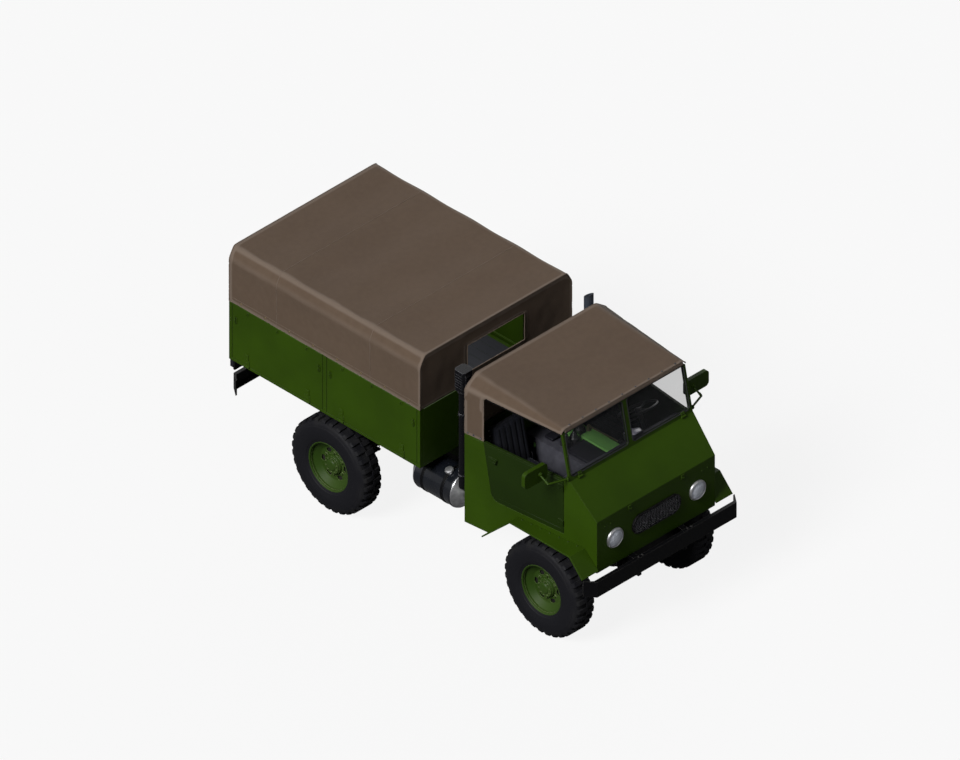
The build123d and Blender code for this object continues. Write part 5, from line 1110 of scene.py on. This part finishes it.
def roof_point(a, b):
    """The cab roof: a runs over it from its middle, on the section by the hoop, and b is Y."""
    ahead = (CAB_REAR - b) / (CAB_REAR - CANVAS_FRONT)
    half, top_z = cab_side(b), ROOF_TOP - ROOF_FALL * ahead
    top_half = half - ROOF_SLOPE * (top_z - SHOULDER_Z)
    way, up = math.copysign(1, a), ROOF_HALF - abs(a)
    if up < ROOF_SIDE:
        spot, inwards = Vector((way * half, b, CANVAS_FOOT + up)), Vector((-way, 0, 0))
    elif up < ROOF_CROWN:
        k = (up - ROOF_SIDE) / (ROOF_CROWN - ROOF_SIDE)
        spot = Vector((way * (half + (top_half - half) * k), b, SHOULDER_Z + (top_z - SHOULDER_Z) * k))
        inwards = Vector((-way * 0.6, 0, -0.8))
    else:
        k = (up - ROOF_CROWN) / (ROOF_HALF - ROOF_CROWN)
        spot, inwards = Vector((way * top_half * (1 - k), b, top_z)), Vector((0, 0, -1))
    slack = share(abs(b - HOOP_Y), 0.25) * share(abs(b - CANVAS_FRONT), 0.20)
    over_top = max(0.0, 1 - (spot.x / top_half) ** 2) if up > ROOF_SIDE else 0.0
    sag = ROOF_SAG * slack * over_top
    sag += ripple(spot.x * 1.6, spot.y, spot.z, 0.16, ROOF_FOLDS) * (0.35 + 0.65 * slack)
    pull = BEND_PULL * sum(max(0.0, 1 - abs(up - bend) / BEND_WIDE) for bend in (ROOF_SIDE, ROOF_CROWN))
    return spot + inwards * (sag + pull)


half_edge = [(1.014, CANVAS_FRONT), (1.014, -0.972), (1.019, -0.950), (1.032, -0.932), (1.054, -0.922),
             (ROOF_HALF, -0.922), (ROOF_HALF, CAB_REAR)]
outline = [(-1.014, CANVAS_FRONT), *half_edge] + [(-x, y) for x, y in half_edge[:0:-1]]
roof = cloth("cab_roof", [outline], 0.026, roof_point, replaces="cab_canvas")
WINDOW_HALF, WINDOW_Z, WINDOW_TALL = 0.38, 2.17, 0.14
window = cut_corners(WINDOW_HALF, WINDOW_TALL, 0.030)


def back_point(a, b):
    """The roof's back wall; a runs from left to right."""
    edge = min(CAB_HALF - abs(a), b - CANVAS_FOOT)
    free = share(edge, 0.08) * share(max(abs(a) - WINDOW_HALF, abs(b - WINDOW_Z) - WINDOW_TALL), 0.05)
    return Vector((-a, CAB_REAR - 0.0005 - ripple(a * 1.5, 3.1, b, 0.11, 0.008) * free, b))


back = cloth("cab_roof_back", [gable(CAB_HALF, ROOF_TOP_HALF, CANVAS_FOOT, SHOULDER_Z, ROOF_TOP),
                               [(x, WINDOW_Z + z) for x, z in window]], 0.03, back_point, replaces="cab_canvas")
flexible = mottled("flexible_window", 0.2, (0.50, 0.50, 0.46), (0.60, 0.60, 0.56), rough=(0.12, 0.2), detail=4.0,
                   alpha=(0.25, 0.2), Specular_IOR_Level=0.5)
pane = cloth("cab_back_window", [[(x * 1.03, WINDOW_Z + z * 1.08) for x, z in window]], 0.04,
             lambda a, b: Vector((-a, CAB_REAR - 0.004 - ripple(a, 1.0, b, 0.2, 0.003), b)), flexible,
             thick=0.001)
binding = Work()
loop = [(-x, CAB_REAR - 0.0015, WINDOW_Z + z) for x, z in window]
binding.pipe(loop + loop[:2], 0.0045, 8)
edges = [[(a, -1.886) for a in np.linspace(-1.010, 1.010, 81)], [(a, -0.688) for a in np.linspace(-1.526, 1.526, 121)]]
for way in SIDES:
    edges += [[(way * 1.0145, b) for b in np.linspace(-1.886, -0.965, 36)],
              [(way * 1.528, b) for b in np.linspace(-0.920, -0.689, 10)],
              [(way * a, -0.9225) for a in np.linspace(1.06, 1.526, 20)]]
for edge in edges:
    binding.pipe([roof_point(a, b) for a, b in edge], 0.0042, 8)
hem = binding.done("cab_roof_hems", canvas_brown, "canvas_brown", crease=60)
fasteners = Work()
STUD = ((0, 0.011), (0.003, 0.010), (0.004, 0.006), (0.009, 0.006), (0.010, 0))
STUD_Z = 1.908
spots = [((x, -1.868, roof_point(x, -1.870).z - 0.001), (0, -0.06, 1)) for x in np.linspace(-0.72, 0.72, 9)]
spots += [(on_side(side, y, STUD_Z, -0.002), (side, 0, 0)) for side in SIDES for y in (-0.725, -0.80, -0.885)]
spots += [((x, -0.690, STUD_Z), BACK) for x in np.linspace(-0.88, 0.88, 12)]
for spot, out in spots:
    fasteners.turned(STUD, spot, out, 20)
fasteners.done("cab_roof_studs", intake_black, "frame_black")
LIP, LIP_HALF = 0.040, 0.806
lip = cloth("cab_roof_lip", [oblong((-LIP_HALF, 0), (LIP_HALF, LIP))], 0.02,
            lambda a, b: screen(a, SCREEN_TALL - LIP + 0.006 + b, 0.0065 + ripple(a, 4.0, b, 0.1, 0.003)),
            replaces="cab_canvas")

# ---------------------------------------------------------------- load bed
# Pressed steel drop boards on hinges, held up by toggle latches at their posts, on a steel floor over cross bearers.
# Rope hooks for the cover are welded along the boards' top rails.
board_green = painted("board_green", (0.0205, 0.0460, 0.0008), (0.050, 0.075, 0.025), 0.50, dust=0.12, wear=0.45,
                      dirt_top=1.4)
dress(board_green, "bed_floor", "bed_posts", "headboard", "tailgate")
BED_OUT, BED_REAR = 1.035, 2.454
HOOK = ((0.003, 1.885), (0.014, 1.884), (0.018, 1.878), (0.018, 1.868), (0.016, 1.862))


def fittings(board, place, hinges, hooks, latches, riveted):
    """Hinge leaves, rope hooks and latches of a drop board, in a frame whose X points out of it and Y along it."""
    trim = Work(place)
    for y in hinges:
        trim.block((0.0035, y, 1.336), (0.007, 0.048, 0.128))
        for z in (1.300, 1.340, 1.380):
            trim.rivet((0.007, y, z), LEFT, 0.014)
    for y in hooks:
        trim.block((0.002, y, 1.878), (0.004, 0.036, 0.032))
        trim.pipe([(out, y, z) for out, z in HOOK], 0.0038, 8)
    for y in latches:
        trim.block((0.003, y, 1.730), (0.006, 0.044, 0.060))
        trim.block((0.010, y, 1.731), (0.008, 0.020, 0.082), Matrix.Rotation(0.05, 4, "Y"))
        trim.bolt((0.014, y, 1.730), LEFT, 0.012)
        for z in (1.708, 1.752) if riveted else ():
            trim.rivet((0.006, y - math.copysign(0.016, y), z), LEFT, 0.008)
    trim.done(f"{board}_fittings", board_green, "body_green", board, edge=0.001, cuts=1)


for place_name, middle_y in (("front", 0.510), ("rear", 1.796)):
    for side, side_name, turn in ((1, "left", 0), (-1, "right", math.pi)):
        board = f"side_board_{place_name}_{side_name}"
        dress(board_green, board)
        fittings(board, Matrix.Translation((side * BED_OUT, middle_y, 0)) @ Matrix.Rotation(turn, 4, "Z"),
                 (-0.412, 0.412), (-0.40, 0.0, 0.40), (-0.567, 0.567), True)
fittings("tailgate", Matrix.Translation((0, BED_REAR, 0)) @ Matrix.Rotation(math.pi / 2, 4, "Z"), (-0.62, 0.62),
         (-0.75, -0.25, 0.25, 0.75), (-0.934, 0.934), False)

bed_fixings, planks = Work(), Work()
BEARER_PLATE_X, PLATE_HALF, PLANK_STEP = 0.3745, 0.004, 0.1135
for side in SIDES:
    out = (side, 0, 0)
    for y in np.linspace(-0.028, 2.334, 5):
        for x in (0.395, 0.455):
            bed_fixings.bolt((side * x, y, 1.164), DOWN, 0.018)
        bed_fixings.block((side * BEARER_PLATE_X, y, 1.075), (2 * PLATE_HALF, 0.090, 0.170))
        for z in (1.03, 1.10):
            bed_fixings.bolt((side * (BEARER_PLATE_X + PLATE_HALF), y, z), out, 0.018)
    for y in (-0.128, 1.153, 2.434):
        for z in (1.30, 1.60, 1.86):
            bed_fixings.rivet((side * BED_OUT, y, z), out)
for x in np.linspace(-0.9, 0.9, 10):
    for z in (1.275, 1.888):
        bed_fixings.rivet((x, -0.148, z), AHEAD)
bed_fixings.done("bed_fixings", board_green, "body_green", edge=0.001, cuts=1)
for k in range(17):
    planks.block((-0.905 + k * PLANK_STEP, 1.144, 1.26075), (0.110, 2.512, 0.0045))
plank_grey = painted("plank_grey", (0.026, 0.027, 0.032), (0.10, 0.10, 0.11), 0.6, dust=0.15, wear=0.4, dirt_top=1.5)
planks.done("bed_lining", plank_grey, "floor_grey", edge=0.0015, cuts=1)

lamp_red, start = surface("lamp_red", Coat_Weight=0.6, Coat_Roughness=0.06, IOR=1.49)
facets = start.node("TexVoronoi", None, {"Vector": start.node("TexCoord", output="Object"), "Scale": 130.0})
start.feed(Base_Color=facets.tint((0.36, 0.010, 0.010), (0.20, 0.004, 0.005)), Roughness=facets * 0.2 + 0.16,
           Normal=start.bump(0.4, 0.001, facets))
dress(dark_box, "tail_lamps")
red_lenses, lamp_backs = Work(), Work()
TAIL_LAMP_X = 0.975
for side in SIDES:
    x = side * TAIL_LAMP_X
    red_lenses.block((x, 2.45125, 1.180), (0.088, 0.0075, 0.088))
    lamp_backs.block((x, 2.391, 1.180), (0.110, 0.022, 0.112))
    lamp_backs.block((x, 2.390, 1.2385), (0.040, 0.012, 0.047))
    for dx in (-0.0378, 0.0378):
        lamp_backs.bolt((x + dx, 2.4550, 1.180), BACK, 0.007)
red_lenses.done("tail_lenses", lamp_red, "lamp_red", edge=0.004)
lamp_backs.done("lamp_backs", chassis_black, "frame_black", edge=0.002)

# ---------------------------------------------------------------- load cover
# The same canvas sewn in three panels over five steel bows: a roof with its sides, a front wall with a bound
# opening, and a rear wall that laces shut down its middle. Brass eyelets along its feet take the rope hooks.
dress(chassis_black, "tarp_bows", "tarp_rails")
COVER_FRONT, COVER_REAR = -0.148, 2.454
COVER_FOOT, COVER_SHOULDER, COVER_TOP, TOP_HALF = 1.914, 2.416, 2.535, 0.967
FIRST_BOW, LAST_BOW, BOW_STEP, EYELET_STEP = -0.121, 2.427, 0.637, 0.3253
SIDE_SAG, FOOT_SCALLOP, SLOPE_SAG, COVER_PULL, COVER_BEND = 0.006, 0.003, 0.007, 0.004, 0.035
# Lengths over the cloth: up its side, up to where the top begins, and from its foot to its middle.
SIDE_LONG = COVER_SHOULDER - COVER_FOOT
CROWN_LONG = SIDE_LONG + math.hypot(BED_OUT - TOP_HALF, COVER_TOP - COVER_SHOULDER)
HALF_LONG = CROWN_LONG + TOP_HALF


def cover_point(a, b):
    """The load cover: a runs over it from its middle, and b is Y."""
    way, up = math.copysign(1, a), HALF_LONG - abs(a)
    between = math.sin(math.pi * (b - FIRST_BOW) / BOW_STEP) ** 2 if FIRST_BOW <= b <= LAST_BOW else 0.0
    if up < SIDE_LONG:
        k = up / SIDE_LONG
        spot, inwards = Vector((way * BED_OUT, b, COVER_FOOT + up)), Vector((-way, 0, 0))
        scallop = 0.5 - 0.5 * math.cos(2 * math.pi * (b - COVER_FRONT) / EYELET_STEP)
        sag = SIDE_SAG * between * math.sin(math.pi * min(1.0, k * 1.1) / 1.1)
        sag += FOOT_SCALLOP * scallop * max(0.0, 1 - k * 3)
        sag += ripple(way * 2.0, b * 2.6, up * 0.7, 0.20, 0.007) * math.sin(math.pi * min(1, k + 0.12)) ** 0.5
    elif up < CROWN_LONG:
        k = (up - SIDE_LONG) / (CROWN_LONG - SIDE_LONG)
        spot = Vector((way * (BED_OUT + (TOP_HALF - BED_OUT) * k), b,
                       COVER_SHOULDER + (COVER_TOP - COVER_SHOULDER) * k))
        inwards = Vector((-way * 0.868, 0, -0.496))
        sag = SLOPE_SAG * between * (0.4 + 0.6 * k)
    else:
        spot, inwards = Vector((a, b, COVER_TOP)), Vector((0, 0, -1))
        sag = between * (0.006 + 0.008 * (1 - (a / TOP_HALF) ** 4)) + ripple(a, b * 1.5, 5.0, 0.24, 0.006)
    soft = max(0.0, 1 - min(abs(up - SIDE_LONG), abs(up - CROWN_LONG)) / COVER_BEND) * COVER_PULL
    edge_hold = max(0.15, min(1.0, (b - COVER_FRONT) / 0.06, (COVER_REAR - b) / 0.06))
    return spot + inwards * (sag * edge_hold + soft)


OPENING_HALF, OPENING_Z, OPENING_TALL = 0.39, 2.20, 0.16
opening = oblong((OPENING_HALF, OPENING_Z - OPENING_TALL), (-OPENING_HALF, OPENING_Z + OPENING_TALL))


def wall_slack(a, b):
    """How far the cover's end walls may fold: not at all where they are sewn."""
    return share(min(BED_OUT - abs(a), COVER_TOP - b, b - COVER_FOOT + 0.02), 0.10)


def front_point(a, b):
    """The cover's front wall; a runs from right to left."""
    free = wall_slack(a, b) * share(max(abs(a) - OPENING_HALF, abs(b - OPENING_Z) - OPENING_TALL), 0.06)
    return Vector((a, COVER_FRONT + 0.0005 + ripple(a * 1.4, 7.0, b, 0.15, 0.010) * free, b))


def rear_point(a, b, out=0.0):
    """The cover's rear wall, or out metres off it; a runs from left to right."""
    return Vector((-a, COVER_REAR - 0.0005 - ripple(a * 1.8, 11.0, b * 0.8, 0.16, 0.011) * wall_slack(a, b) + out, b))


FLAP_HALF, FLAP_TOP = 0.075, 2.47
wall = gable(BED_OUT, TOP_HALF, COVER_FOOT, COVER_SHOULDER, COVER_TOP)
cover, front_wall, rear_wall, flap = (
    cloth(name, loops, step, form, replaces="cargo_tarp") for name, loops, step, form in (
        ("cover_roof", [oblong((-HALF_LONG, COVER_FRONT), (HALF_LONG, COVER_REAR))], 0.027, cover_point),
        ("cover_front", [wall, opening], 0.03, front_point),
        ("cover_back", [wall], 0.03, rear_point),
        ("cover_overlap", [oblong((-FLAP_HALF, COVER_FOOT - 0.004), (FLAP_HALF, FLAP_TOP))], 0.025,
         lambda a, b: rear_point(a, b, 0.0045))))
hems = Work()
for way in SIDES:
    for inset, radius, sides in ((0.002, 0.0048, 8), (0.055, 0.0016, 6)):
        hems.pipe([cover_point(way * (HALF_LONG - inset), b) + Vector((way * 0.0005, 0, 0))
                   for b in np.linspace(COVER_FRONT, COVER_REAR, 97)], radius, sides)
    hems.pipe([rear_point(way * FLAP_HALF, z, 0.006) for z in np.linspace(COVER_FOOT, FLAP_TOP, 24)], 0.0022, 6)
for b, radius, sides in ((COVER_FRONT + 0.001, 0.0045, 8), (COVER_REAR - 0.001, 0.0045, 8), (0.536, 0.0030, 6),
                         (1.810, 0.0030, 6)):
    hems.pipe([cover_point(a, b) for a in np.linspace(-HALF_LONG, HALF_LONG, 129)], radius, sides)
loop = [(x, COVER_FRONT - 0.001, z) for x, z in opening]
for ends in zip(loop, loop[1:] + loop[:1]):
    hems.pipe(ends, 0.0050, 8)
hem = hems.done("cover_hems", canvas_brown, "canvas_brown", crease=60)

brass = mottled("brass", 0.02, (0.36, 0.27, 0.12), (0.20, 0.15, 0.08), rough=(0.35, 0.25), detail=3.0, Metallic=0.9)
EYELET = ((0.0, 0.0075), (0.0, 0.0135), (0.0018, 0.0125), (0.0024, 0.0100), (0.0016, 0.0075))
LACE_EYELET = ((0.0, 0.006), (0.0, 0.011), (0.0018, 0.010), (0.0022, 0.008), (0.0014, 0.006))
spots = [(EYELET, cover_point(way * (HALF_LONG - 0.028), b), (way, 0, 0)) for way in SIDES
         for b in np.arange(COVER_FRONT + 0.163, COVER_REAR, EYELET_STEP)]
spots += [(EYELET, rear_point(x, COVER_FOOT + 0.028), BACK) for x in np.linspace(-0.9, 0.9, 7)]
spots += [(LACE_EYELET, rear_point(x, z, 0.0045), BACK) for z in np.arange(1.98, 2.46, 0.12) for x in (-0.055, 0.055)]
eyelets, straps, buckles = Work(), Work(), Work()
for profile, spot, out in spots:
    eyelets.turned(profile, spot, out, 20, True)
eyelets.done("cover_eyelets", brass, "bright_steel")
for z in (2.02, 2.20, 2.38):
    y = rear_point(0, z, 0.0065).y
    straps.block((0, y - 0.00025, z), (0.220, 0.0035, 0.022))
    for way in SIDES:
        buckles.block((way * 0.018, y + 0.002, z), (0.004, 0.004, 0.030))
        buckles.block((0, y + 0.002, z + way * 0.014), (0.040, 0.004, 0.004))
straps.done("cover_straps", canvas_brown, "canvas_brown", edge=0.0008, cuts=1)
buckles.done("cover_buckles", brass, "bright_steel")
